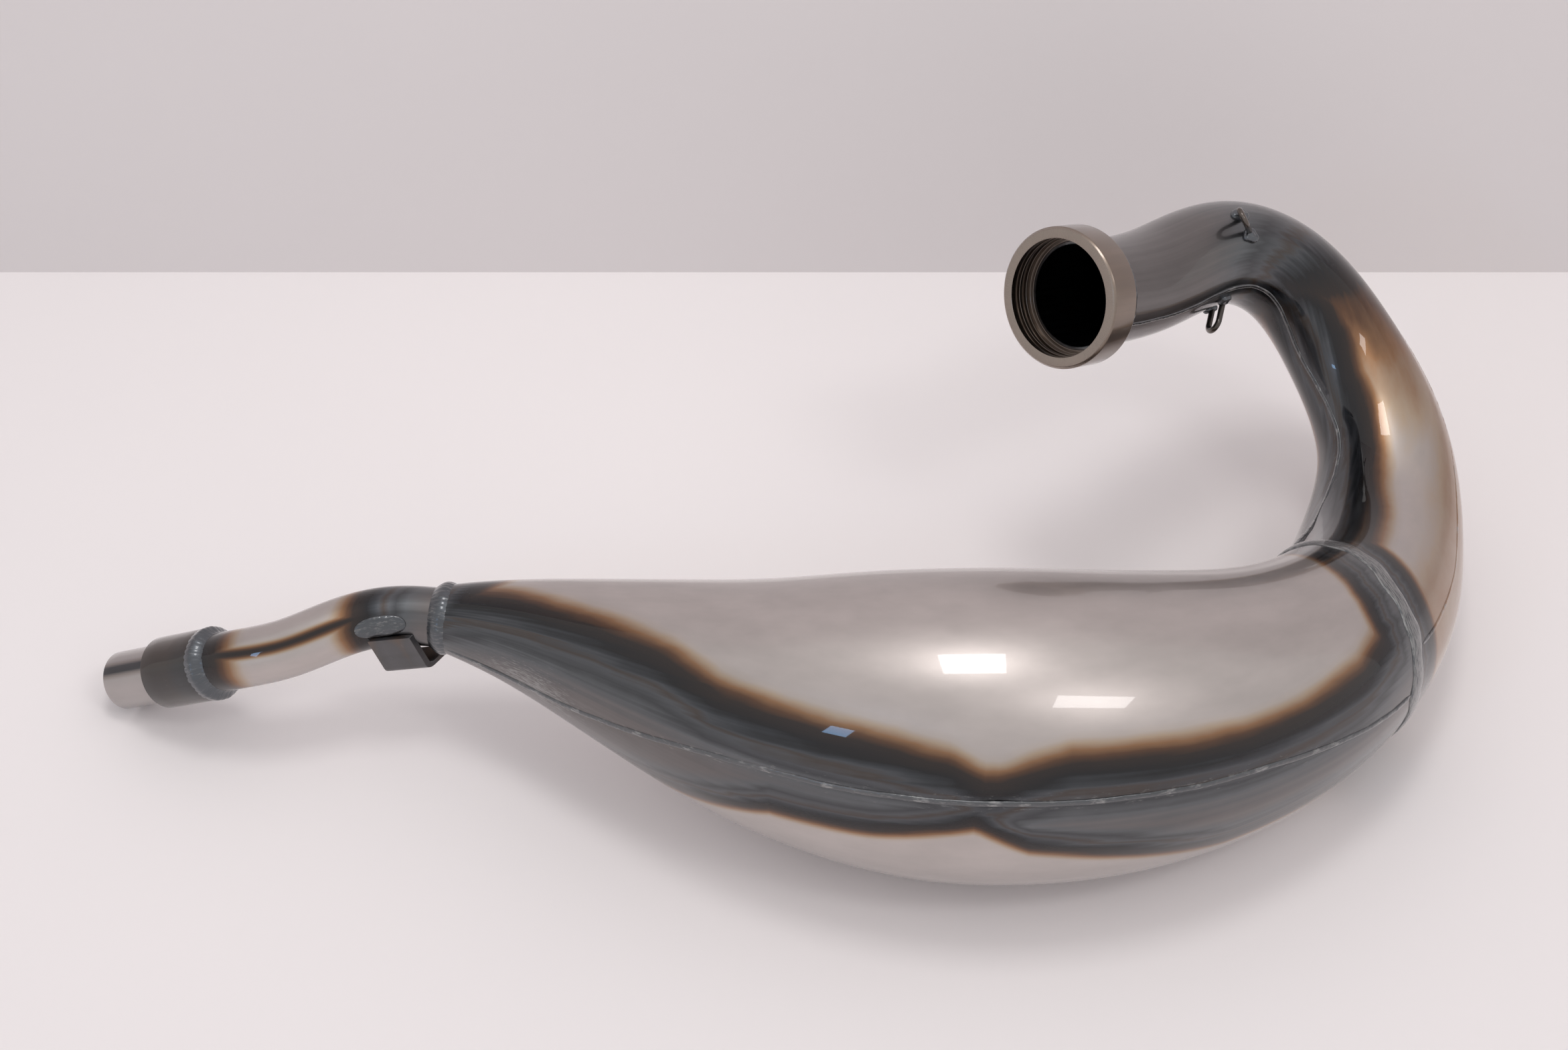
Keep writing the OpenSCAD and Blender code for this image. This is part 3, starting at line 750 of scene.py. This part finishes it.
def bracket_weld_piece():
    """Bead over the upper edge of the bracket's leg."""
    degree = math.pi * TUBE_R / 180
    turn = BRACKET_WELD_W / 2 / degree
    place = (BRACKET_TOP + 3 * WELD_SEAT) / degree + turn
    u = np.linspace(-1, 1, 90)
    full = np.sqrt(1 - 0.985 * np.abs(u) ** 3)
    s = CONE_END + BRACKET_AT + BRACKET_WELD_LAP + u * (BRACKET_L / 2 + BRACKET_WELD_LAP - 0.2)
    across, height = bead_profile(21)
    tall = 0.8 + 0.2 * ripple(s, 2.8, 31)
    angle = place + 2 * across[None, :] * turn * full[:, None] * 0.98
    lift = np.where(height > 0, 0.0, -0.4)[None, :]
    dish = 1 - 0.2 * np.exp(-(across / 0.2) ** 2)[None, :]
    lumps = 0.12 * np.sin(s / 1.9)[:, None] * np.sin(across * 17)[None, :]
    r = TUBE_R + lift + height[None, :] ** 0.7 * ((BRACKET_WELD_H * tall * full)[:, None] * dish + lumps)
    sections = skin(s[:, None], angle, r)
    attributes = flat_attributes(s[:, None], angle, r, 15 + 8 * height[None, :] * full[:, None], 0.6)
    piece = swept("bracket_bead", sections, attributes, smooth_angle=60)
    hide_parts("bracket_weld")
    return piece


def on_skin_frame(s, angle):
    """Origin and directions on the header's skin: towards the flange, round the pipe, outwards."""
    x, y, z = path_frame(np.array(float(s)))
    a = math.radians(angle)
    out = math.cos(a) * x + math.sin(a) * y
    return centre(np.array(float(s))) + shell_r(np.array(float(s))) * out, -z, np.cross(out, -z), out


def hook_piece(name, node, s, angle):
    """A U of round wire, leaning towards the flange."""
    o, along, side, out = on_skin_frame(s, angle)
    lean = math.radians(HOOK_LEAN)
    up = math.cos(lean) * out + math.sin(lean) * along
    half = (HOOK_GAP + WIRE_D) / 2
    leg = np.linspace(-1.2, HOOK_REACH, 9)
    bow = np.linspace(0, math.pi, 25)[1:-1]
    line = [(-half, h) for h in leg]
    line += [(-half * math.cos(t), HOOK_REACH + half * math.sin(t)) for t in bow]
    line += [(half, h) for h in leg[::-1]]
    line = np.array(line)
    path = o + line[:, :1] * side + line[:, 1:] * up
    normal = unit(np.cross(side, up))
    tangent = unit(np.gradient(path, axis=0))
    binormal = np.cross(tangent, normal)
    a = np.linspace(0, 2 * math.pi, 25)[:-1]
    ring = np.cos(a)[None, :, None] * binormal[:, None] + np.sin(a)[None, :, None] * normal[None, None]
    sections = path[:, None] + WIRE_D / 2 * ring
    length = np.arange(len(path))[:, None]
    heat = 6 + 4 * np.sin(length / 5)
    attributes = flat_attributes(length * 1.0, np.degrees(a)[None, :], WIRE_D / 2, heat, 0.2)
    piece = swept(name, sections, attributes)
    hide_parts(node)
    return piece


def hook_weld_piece(name, node, s, angle, seed):
    """Two lumpy spots of weld round a hook's feet, dressed to the header's skin."""
    _, _, side, _ = on_skin_frame(s, angle)
    half = (HOOK_GAP + WIRE_D) / 2 + HOOK_WELD_D / 4
    rng = np.random.default_rng(seed)
    points, faces, attribute_sets = [], [], []
    rings, segments = 14, 40
    for sign in (-1, 1):
        r0 = shell_r(np.array(float(s)))
        angle0 = angle - sign * half / r0 * 180 / math.pi
        u = np.linspace(0, 1, rings)[:, None]
        a = (np.arange(segments) * 2 * math.pi / segments)[None, :]
        size = HOOK_WELD_D / 2 * (1 + 0.10 * np.sin(3 * a + rng.random() * 6) + 0.05 * np.sin(5 * a))
        lift = HOOK_WELD_H * np.cos(u * math.pi / 2) ** 0.8 * (1 + 0.08 * np.cos(u * 11)) - 0.15
        reach = size * np.sin(u * math.pi / 2)
        ss = s + reach * np.cos(a) * 1.1
        aa = angle0 + reach * np.sin(a) / r0 * 180 / math.pi
        top = skin(ss, aa, shell_r(ss) + lift)
        low = skin(ss[-1], aa[-1], shell_r(ss[-1]) - 0.5)[None]
        grid = np.concatenate([top[1:], low])
        rows = grid.shape[0]
        base = len(points)
        points += grid.reshape(-1, 3).tolist()
        part = loop_faces(rows, segments, False)
        part.append(tuple(range(segments)))
        part.append(tuple(range(rows * segments - 1, (rows - 1) * segments - 1, -1)))
        part = facing_out(grid, part)
        faces += [tuple(base + k for k in f) for f in part]
        s_all = np.concatenate([ss[1:], ss[-1:]])
        a_all = np.concatenate([aa[1:], aa[-1:]])
        attribute_sets.append(flat_attributes(s_all, a_all, r0, 14 + 0 * s_all, 0.5))
    attributes = {k: np.concatenate([x[k] for x in attribute_sets]) for k in attribute_sets[0]}
    piece = make_object(name, points, faces, attributes, 70)
    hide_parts(node)
    return piece


class Graph:
    """Short way to write a material's nodes."""

    def __init__(self, name):
        self.material = bpy.data.materials.new(name)
        self.material.use_nodes = True
        self.tree = self.material.node_tree
        self.tree.nodes.clear()

    def node(self, kind, inputs=None, **settings):
        n = self.tree.nodes.new(kind)
        for key, value in settings.items():
            setattr(n, key, value)
        for key, value in (inputs or {}).items():
            socket = n.inputs[key]
            if isinstance(value, bpy.types.NodeSocket):
                self.tree.links.new(value, socket)
            else:
                socket.default_value = value
        return n

    def math(self, operation, *values, clamp=False):
        n = self.node("ShaderNodeMath", dict(enumerate(values)), operation=operation, use_clamp=clamp)
        return n.outputs[0]

    def scaled(self, vector, scale):
        return self.node("ShaderNodeVectorMath", {0: vector, 1: scale}, operation="MULTIPLY").outputs[0]

    def noise(self, vector, scale, detail=3.0, rough=0.55):
        inputs = {"Vector": vector, "Scale": scale, "Detail": detail, "Roughness": rough}
        return self.node("ShaderNodeTexNoise", inputs).outputs["Fac"]

    def ramp(self, fac, stops):
        n = self.node("ShaderNodeValToRGB", {"Fac": fac})
        while len(n.color_ramp.elements) > 1:
            n.color_ramp.elements.remove(n.color_ramp.elements[-1])
        n.color_ramp.elements[0].position = stops[0][0]
        n.color_ramp.elements[0].color = (*stops[0][1], 1)
        for place, colour in stops[1:]:
            n.color_ramp.elements.new(place).color = (*colour, 1)
        return n.outputs["Color"]

    def range(self, value, low, high, to_low=0.0, to_high=1.0):
        inputs = {"Value": value, "From Min": low, "From Max": high}
        inputs |= {"To Min": to_low, "To Max": to_high}
        return self.node("ShaderNodeMapRange", inputs).outputs["Result"]

    def mix(self, fac, a, b, blend="MIX"):
        n = self.node("ShaderNodeMix", data_type="RGBA", blend_type=blend)
        for socket, value in ((n.inputs[0], fac), (n.inputs[6], a), (n.inputs[7], b)):
            if isinstance(value, bpy.types.NodeSocket):
                self.tree.links.new(value, socket)
            else:
                socket.default_value = value
        return n.outputs[2]

    def shaded(self, colour, value):
        """The colour times a grey of that value."""
        grey = self.node("ShaderNodeCombineColor", {0: value, 1: value, 2: value}).outputs[0]
        return self.mix(1.0, colour, grey, "MULTIPLY")

    def surface(self, socket):
        self.node("ShaderNodeOutputMaterial", {"Surface": socket})

    def attribute(self, name, output="Fac"):
        return self.node("ShaderNodeAttribute", attribute_name=name).outputs[output]


HEAT_LOW = -6.0
HEAT_HIGH = 38.0


def heat_place(mm):
    return (mm - HEAT_LOW) / (HEAT_HIGH - HEAT_LOW)


BARE = (0.50, 0.455, 0.435)
# Pale grey of rubbed scale; on the seam beads it also paints the glints, a painted highlight.
RUBBED_AND_GLINT = (0.36, 0.36, 0.355, 1)
GRAIN_DEPTH = 0.00008
# Colour of the steel by depth inside the tinted zone, in millimetres.
TINTS = [
    (-6.0, BARE),
    (-3.5, (0.49, 0.435, 0.40)),
    (-1.2, (0.43, 0.33, 0.24)),
    (1.4, (0.27, 0.140, 0.066)),
    (3.8, (0.100, 0.045, 0.021)),
    (6.4, (0.024, 0.015, 0.012)),
    (12.0, (0.006, 0.006, 0.008)),
    (15.0, (0.030, 0.034, 0.040)),
    (17.0, (0.062, 0.066, 0.074)),
    (19.0, (0.058, 0.046, 0.040)),
    (21.5, (0.078, 0.082, 0.090)),
    (24.5, (0.045, 0.048, 0.053)),
    (29.0, (0.105, 0.112, 0.120)),
    (38.0, (0.132, 0.120, 0.118)),
]


def steel_material(name, tints=TINTS, wander=1.0, rough_bare=0.39, rough_dark=0.36, grain=1.0, coat_ior=1.5):
    """Bare steel with heat tint by the scorch attribute, streaks along the pipe, rubbed scale, and painted
    glints on the seam beads.
    """
    g = Graph(name)
    pipe = g.attribute("pipe", "Vector")
    heat = g.attribute("scorch")
    rub_and_glint = g.attribute("rub_and_glint")
    blotch = g.noise(g.scaled(pipe, (0.40, 0.9, 0.0)), 1.0, 3.0)
    streak = g.noise(g.scaled(pipe, (0.07, 3.0, 0.0)), 1.0, 2.0, 0.5)
    fine = g.noise(g.scaled(pipe, (9.0, 24.0, 0.0)), 1.0, 3.0)
    brush = g.noise(g.scaled(pipe, (26.0, 0.8, 0.0)), 1.0, 2.0)
    wobble = g.math("MULTIPLY_ADD", blotch, 4.0 * wander, -2.0 * wander)
    deep = g.range(heat, 2.0, 12.0)
    streaky = g.math("MULTIPLY", g.math("MULTIPLY_ADD", streak, 9.0 * wander, -4.5 * wander), deep)
    level = g.math("ADD", g.math("ADD", heat, wobble), streaky)
    place = g.range(level, HEAT_LOW, HEAT_HIGH)
    colour = g.ramp(place, [(heat_place(mm), tint) for mm, tint in tints])
    dark = g.range(level, 1.0, 8.0)
    lines = g.range(streak, 0.3, 0.75, 0.90, 1.12)
    shade = g.math("ADD", g.math("MULTIPLY", lines, dark), g.math("SUBTRACT", 1.0, dark))
    colour = g.shaded(colour, shade)
    colour = g.shaded(colour, g.range(blotch, 0.3, 0.7, 0.93, 1.06))
    # Pale patches: rubbed scale on the sheet, and painted glints on the seam beads, where the rub attribute
    # carries them.
    flakes = g.noise(g.scaled(pipe, (1.6, 7.0, 0.0)), 1.3, 6.0, 0.72)
    loose = g.range(g.math("MULTIPLY_ADD", rub_and_glint, 0.26, flakes), 0.68, 0.80)
    flaky_and_glint = g.math("MULTIPLY", loose, rub_and_glint, clamp=True)
    colour = g.mix(g.math("MULTIPLY", flaky_and_glint, 0.75), colour, RUBBED_AND_GLINT)
    rough = g.math("ADD", g.range(level, 0.0, 9.0, rough_bare, rough_dark), g.math("MULTIPLY", flaky_and_glint, 0.15))
    rough = g.math("ADD", rough, g.range(fine, 0.3, 0.7, -0.015, 0.015))
    height = g.math("ADD", g.math("MULTIPLY", brush, 0.5), g.math("MULTIPLY", fine, 0.2))
    height = g.math("ADD", height, g.math("MULTIPLY", flaky_and_glint, 1.5))
    bump = g.node("ShaderNodeBump", {"Strength": 0.12 * grain, "Distance": GRAIN_DEPTH, "Height": height})
    shader = g.node("ShaderNodeBsdfPrincipled", {
        "Base Color": colour,
        "Metallic": 1.0,
        "Roughness": rough,
        "Normal": bump.outputs["Normal"],
        "Coat Weight": 1.0,
        "Coat Roughness": 0.025,
        "Coat IOR": coat_ior,
    })
    g.surface(shader.outputs["BSDF"])
    return g.material


WELD_TINTS = [
    (-6.0, (0.13, 0.135, 0.145)),
    (10.0, (0.095, 0.105, 0.118)),
    (18.0, (0.080, 0.088, 0.098)),
    (38.0, (0.115, 0.122, 0.130)),
]
FLANGE_TINTS = [
    (-6.0, (0.36, 0.31, 0.27)),
    (6.0, (0.24, 0.19, 0.155)),
    (16.0, (0.20, 0.155, 0.125)),
    (38.0, (0.10, 0.085, 0.075)),
]
TAIL_TINTS = [
    (-6.0, (0.40, 0.37, 0.36)),
    (0.0, (0.25, 0.215, 0.20)),
    (4.5, (0.045, 0.045, 0.05)),
    (38.0, (0.05, 0.05, 0.055)),
]
BRACKET_TINTS = [
    (-6.0, (0.20, 0.12, 0.07)),
    (8.0, (0.120, 0.085, 0.066)),
    (15.0, (0.085, 0.082, 0.085)),
    (38.0, (0.12, 0.12, 0.13)),
]
COLLAR_TINTS = [
    (-6.0, (0.20, 0.17, 0.15)),
    (6.0, (0.062, 0.046, 0.036)),
    (16.0, (0.040, 0.040, 0.042)),
    (38.0, (0.07, 0.075, 0.085)),
]

shell_steel = steel_material("tinted_sheet_steel")
seam_steel = steel_material("seam_steel", rough_bare=0.3, rough_dark=0.3)
tube_steel = steel_material("tube_steel", wander=0.6)
tail_steel = steel_material("tail_steel", TAIL_TINTS, wander=0.4)
weld_steel = steel_material("weld_steel", WELD_TINTS, rough_bare=0.34, rough_dark=0.38, grain=2.0)
flange_steel = steel_material("turned_flange_steel", FLANGE_TINTS, rough_bare=0.28, rough_dark=0.33,
                              grain=1.5, coat_ior=1.4)
bracket_steel = steel_material("bracket_steel", BRACKET_TINTS, rough_bare=0.34, rough_dark=0.38)
collar_steel = steel_material("scaled_collar_steel", COLLAR_TINTS, rough_bare=0.3, rough_dark=0.38, grain=2.0)


def header_start(angle):
    return -SOCKET_L + 0 * angle


def header_stop(angle):
    return ring_s(angle) - BUTT_GAP / 2


def belly_start(angle):
    return ring_s(angle) + BUTT_GAP / 2


def belly_stop(angle):
    return CONE_END + 0 * angle


def outer_seam_again(s):
    return outer_seam(s) + 360


def front_seam_again(s):
    return front_seam(s) + 360


def inner_bead_share(s):
    """The inner seam is dressed nearly flat and stands up before the ring."""
    return 0.22 + 0.9 * ease((s - 285) / 35)


def flange_heat(angle, h, r):
    """Bare on the turned face, browner on the rim and darkest in the bore."""
    behind = h > -FLANGE_L + 0.6
    face = np.where(h < -FLANGE_L + 0.6, -4.0, 6.0)
    inside = np.where(r < FLANGE_D / 2 - 3.2, 8.0, 0.0)
    deep = np.where((r < FLANGE_BORE_D / 2 + 2) & (h > -FLANGE_L + 2), 22.0, 0.0)
    return np.maximum(face + inside * behind, deep)


def tail_heat(angle, h, r):
    """Bare outside but for the seam's stripe, and dull inside."""
    stripe = stripe_heat(angle, TAIL_STRIPE_AT)
    return np.where(r < TUBE_IN + 0.4, 9.0, np.maximum(stripe, HEAT_LOW))


def collar_heat(angle, h, r):
    """Dark all over, a little lighter at the open end and uneven round the collar."""
    return 12 - 4.0 * (h > 12) + 5 * np.sin(np.radians(angle) * 2 + 1)


def tail_profile():
    """Section of the tail tube, turned down where it slides into the collar."""
    turned_r = TUBE_R - 2 * SLIP
    seat = COLLAR_L + TAIL_SEAT
    end = COLLAR_L + TAIL_L
    start = COLLAR_L - COLLAR_INSERT
    outside = [[turned_r, start], [turned_r, seat], [TUBE_R, seat]]
    outside += [[TUBE_R, v] for v in np.linspace(seat, end, 6)[1:]]
    inside = [[TUBE_IN, v] for v in np.linspace(end, start, 5)]
    return rounded(outside + inside, 0.3, 3)


def collar_profile():
    z = np.linspace(0, COLLAR_L, 5)
    points = [[COLLAR_R, v] for v in z] + [[TUBE_R + SLIP, v] for v in z[::-1]]
    return rounded(points, 0.5, 3)


HEADER = (header_start, header_stop)
BELLY = (belly_start, belly_stop)
FLANGE_MARGIN = SOCKET_L + FLANGE_LEG + BEAD_GAP
RING_MARGIN = RING_W / 2 + BEAD_GAP
JOINT_MARGIN = JOINT_W / 2 + BEAD_GAP
HEADER_ENDS = (FLANGE_MARGIN, RING_MARGIN)
BELLY_ENDS = (RING_MARGIN, JOINT_MARGIN)

pieces = {
    "shell_steel": [
        shell_piece("header_upper_half", "header_shell_upper", *HEADER, outer_seam, inner_seam,
                    step_s=2.0, step_a=1.8),
        shell_piece("header_lower_half", "header_shell_lower", *HEADER, inner_seam, outer_seam_again,
                    step_s=2.0, step_a=1.8),
        shell_piece("belly_upper_half", "belly_shell_upper", *BELLY, front_seam, back_seam,
                    step_s=2.0, step_a=1.3),
        shell_piece("belly_lower_half", "belly_shell_lower", *BELLY, back_seam, front_seam_again,
                    step_s=2.0, step_a=1.5),
    ],
    "weld_steel": [
        seam_piece("header_outer_bead", "header_outer_seam_weld", *HEADER, outer_seam, *HEADER_ENDS,
                   pitch=2.1, seed=1, share=0.12),
        seam_piece("header_inner_bead", "header_inner_seam_weld", *HEADER, inner_seam, *HEADER_ENDS,
                   pitch=2.4, seed=2, share=inner_bead_share),
        seam_piece("belly_front_bead", "belly_front_seam_weld", *BELLY, front_seam, *BELLY_ENDS,
                   pitch=2.2, seed=3, share=0.42),
        seam_piece("belly_back_bead", "belly_back_seam_weld", *BELLY, back_seam, *BELLY_ENDS,
                   pitch=2.2, seed=4),
        ring_piece("ring_bead", "chamber_joint_weld"),
        lathe("flange_bead", "flange_weld", 0, flange_weld_profile(), segments=360, heat=14.0, rub_and_glint=0.5,
              uneven=weld_uneven(pitch=3.0, radius=25, depth=0.7, seed=21), smooth_angle=60),
        lathe("cone_bead", "stinger_joint_weld", CONE_END, joint_weld_profile(), segments=300,
              heat=14.0, rub_and_glint=0.6,
              uneven=weld_uneven(pitch=2.8, radius=15, depth=0.6, seed=22), smooth_angle=60),
        lathe("collar_bead", "collar_weld", PATH_END, collar_weld_profile(), segments=300,
              heat=12.0, rub_and_glint=0.5,
              uneven=weld_uneven(pitch=2.6, radius=15, depth=0.5, seed=23), smooth_angle=60),
        bracket_weld_piece(),
        hook_weld_piece("side_hook_spots", "side_hook_weld", *SIDE_HOOK, seed=41),
        hook_weld_piece("low_hook_spots", "lower_hook_weld", *LOW_HOOK, seed=42),
    ],
    "tube_steel": [
        stinger_piece(),
        lathe("tail_pipe", "tail_tube", PATH_END, tail_profile(), segments=128, heat=tail_heat),
        lathe("collar_sleeve", "stinger_collar", PATH_END, collar_profile(), segments=128,
              heat=collar_heat, rub_and_glint=0.15),
        bracket_piece(),
        hook_piece("side_hook_wire", "spring_hook_side", *SIDE_HOOK),
        hook_piece("low_hook_wire", "spring_hook_lower", *LOW_HOOK),
    ],
    "flange_steel": [
        lathe("flange_ring", "header_flange", 0, flange_profile(), segments=256,
              heat=flange_heat, rub_and_glint=0.1),
    ],
}
slot_materials = {
    "shell_steel": shell_steel,
    "weld_steel": weld_steel,
    "tube_steel": tube_steel,
    "flange_steel": flange_steel,
}
for slot, members in pieces.items():
    for piece in members:
        piece.data.materials.append(slot_materials[slot])
        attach(piece, "root")
# Pieces whose steel differs from the rest of their slot.
special = {
    "collar_sleeve": collar_steel,
    "folded_bracket": bracket_steel,
    "side_hook_wire": collar_steel,
    "low_hook_wire": collar_steel,
    "tail_pipe": tail_steel,
    "header_outer_bead": seam_steel,
    "header_inner_bead": seam_steel,
    "belly_front_bead": seam_steel,
    "belly_back_bead": seam_steel,
}
for name, material in special.items():
    bpy.data.objects[name].data.materials[0] = material
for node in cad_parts.values():
    node.data.materials.clear()
    node.data.materials.append(shell_steel)


def stage_material_with_painted_light(name, near, far, middle, reach, rough, one_sided=False):
    """A matt stage material with a painted pool of light: a lit colour round a place in metres, fading to a
    dimmer one at reach.

    A one-sided sheet is clear from behind, so that the part can be looked at from there too.
    """
    g = Graph(name)
    place = g.node("ShaderNodeTexCoord").outputs["Object"]
    # Painted light: the lit colour round the middle fades with distance, standing in for the lamps' falloff.
    from_lit_spot = g.node("ShaderNodeVectorMath", {0: place, 1: middle}, operation="DISTANCE").outputs["Value"]
    grain = g.noise(place, 3.0, 4.0)
    fade = g.math("ADD", g.range(from_lit_spot, 0.0, reach), g.range(grain, 0.3, 0.7, -0.06, 0.06), clamp=True)
    tint = g.mix(fade, (*near, 1), (*far, 1))
    inputs = {"Base Color": tint, "Roughness": rough, "Specular IOR Level": 0.2}
    surface = g.node("ShaderNodeBsdfPrincipled", inputs).outputs["BSDF"]
    if one_sided:
        behind = g.node("ShaderNodeNewGeometry").outputs["Backfacing"]
        clear = g.node("ShaderNodeBsdfTransparent").outputs["BSDF"]
        surface = g.node("ShaderNodeMixShader", {0: behind, 1: surface, 2: clear}).outputs[0]
    g.surface(surface)
    return g.material


def sheet_of(name, corners, material):
    """A flat sheet of the stage."""
    mesh = bpy.data.meshes.new(name)
    mesh.from_pydata(corners, [], [(0, 1, 2, 3)])
    mesh.materials.append(material)
    o = bpy.data.objects.new(name, mesh)
    bpy.context.scene.collection.objects.link(o)


# The stage in metres: a bench, and a wall that stands through it and leans back.
REACH = 3
WALL_AT = 0.232
WALL_FOOT = -0.2
WALL_TOP = 2.0
WALL_LEAN = 0.5
# Colour pairs: the painted lit colour round the spot, then the dimmer colour of the painted falloff.
bench_lit_and_dim = (0.985, 0.945, 0.945), (0.88, 0.845, 0.85)
wall_lit_and_dim = (0.86, 0.82, 0.825), (0.70, 0.665, 0.67)
bench_paint = stage_material_with_painted_light("pale_bench", *bench_lit_and_dim, middle=(-0.06, 0.12, 0), reach=0.75, rough=0.6)
wall_paint = stage_material_with_painted_light("pale_wall", *wall_lit_and_dim, middle=(0.0, 0.35, 0.45), reach=0.8, rough=0.9,
                            one_sided=True)
sheet_of("bench", [
    (-REACH, -REACH, 0),
    (REACH, -REACH, 0),
    (REACH, REACH, 0),
    (-REACH, REACH, 0),
], bench_paint)
sheet_of("wall", [
    (-REACH, WALL_AT, WALL_FOOT),
    (REACH, WALL_AT, WALL_FOOT),
    (REACH, WALL_AT + WALL_LEAN, WALL_TOP),
    (-REACH, WALL_AT + WALL_LEAN, WALL_TOP),
], wall_paint)

CAMERA_DISTANCE = 1.328
CAMERA_TARGET = Vector((-0.0036, 0.0905, 0))
ELEVATION = math.radians(44)
LENS = 65.33
FILM_W = 36
camera_data = bpy.data.cameras.new("camera")
camera_data.lens = LENS
camera_data.sensor_width = FILM_W
camera = bpy.data.objects.new("camera", camera_data)
looking = Vector((0, math.cos(ELEVATION), -math.sin(ELEVATION)))
camera.location = CAMERA_TARGET - looking * CAMERA_DISTANCE
camera.rotation_euler = (math.pi / 2 - ELEVATION, 0, 0)
bpy.context.scene.collection.objects.link(camera)
bpy.context.scene.camera = camera


def area_light(name, place, target, size, power, colour):
    """A rectangular lamp at a place, turned to its target, with its power in watts."""
    data = bpy.data.lights.new(name, "AREA")
    data.shape = "RECTANGLE"
    data.size, data.size_y = size
    data.energy = power
    data.color = colour
    o = bpy.data.objects.new(name, data)
    o.location = place
    o.rotation_euler = (Vector(target) - Vector(place)).to_track_quat("-Z", "Y").to_euler()
    bpy.context.scene.collection.objects.link(o)


LAMP = (1.0, 0.98, 0.97)
SKY = (0.35, 0.62, 1.0)
ROOM = (0.93, 0.90, 0.90, 1)
ROOM_LEVEL = 0.80
area_light("ceiling_panel", (0.0, -0.02, 2.2), target=(0, -0.02, 0), size=(0.50, 0.56), power=6.5,
           colour=LAMP)
area_light("side_panel", (1.13, -1.11, 2.2), target=(1.13, -1.11, 0), size=(0.80, 0.40), power=6,
           colour=LAMP)
area_light("window", (-1.55, -2.05, 1.55), target=(0, 0, 0.1), size=(0.26, 0.30), power=1.8,
           colour=SKY)

world = bpy.data.worlds.new("room")
bpy.context.scene.world = world
world.use_nodes = True
background = world.node_tree.nodes["Background"]
background.inputs["Color"].default_value = ROOM
background.inputs["Strength"].default_value = ROOM_LEVEL

bpy.context.scene.view_settings.view_transform = "Standard"
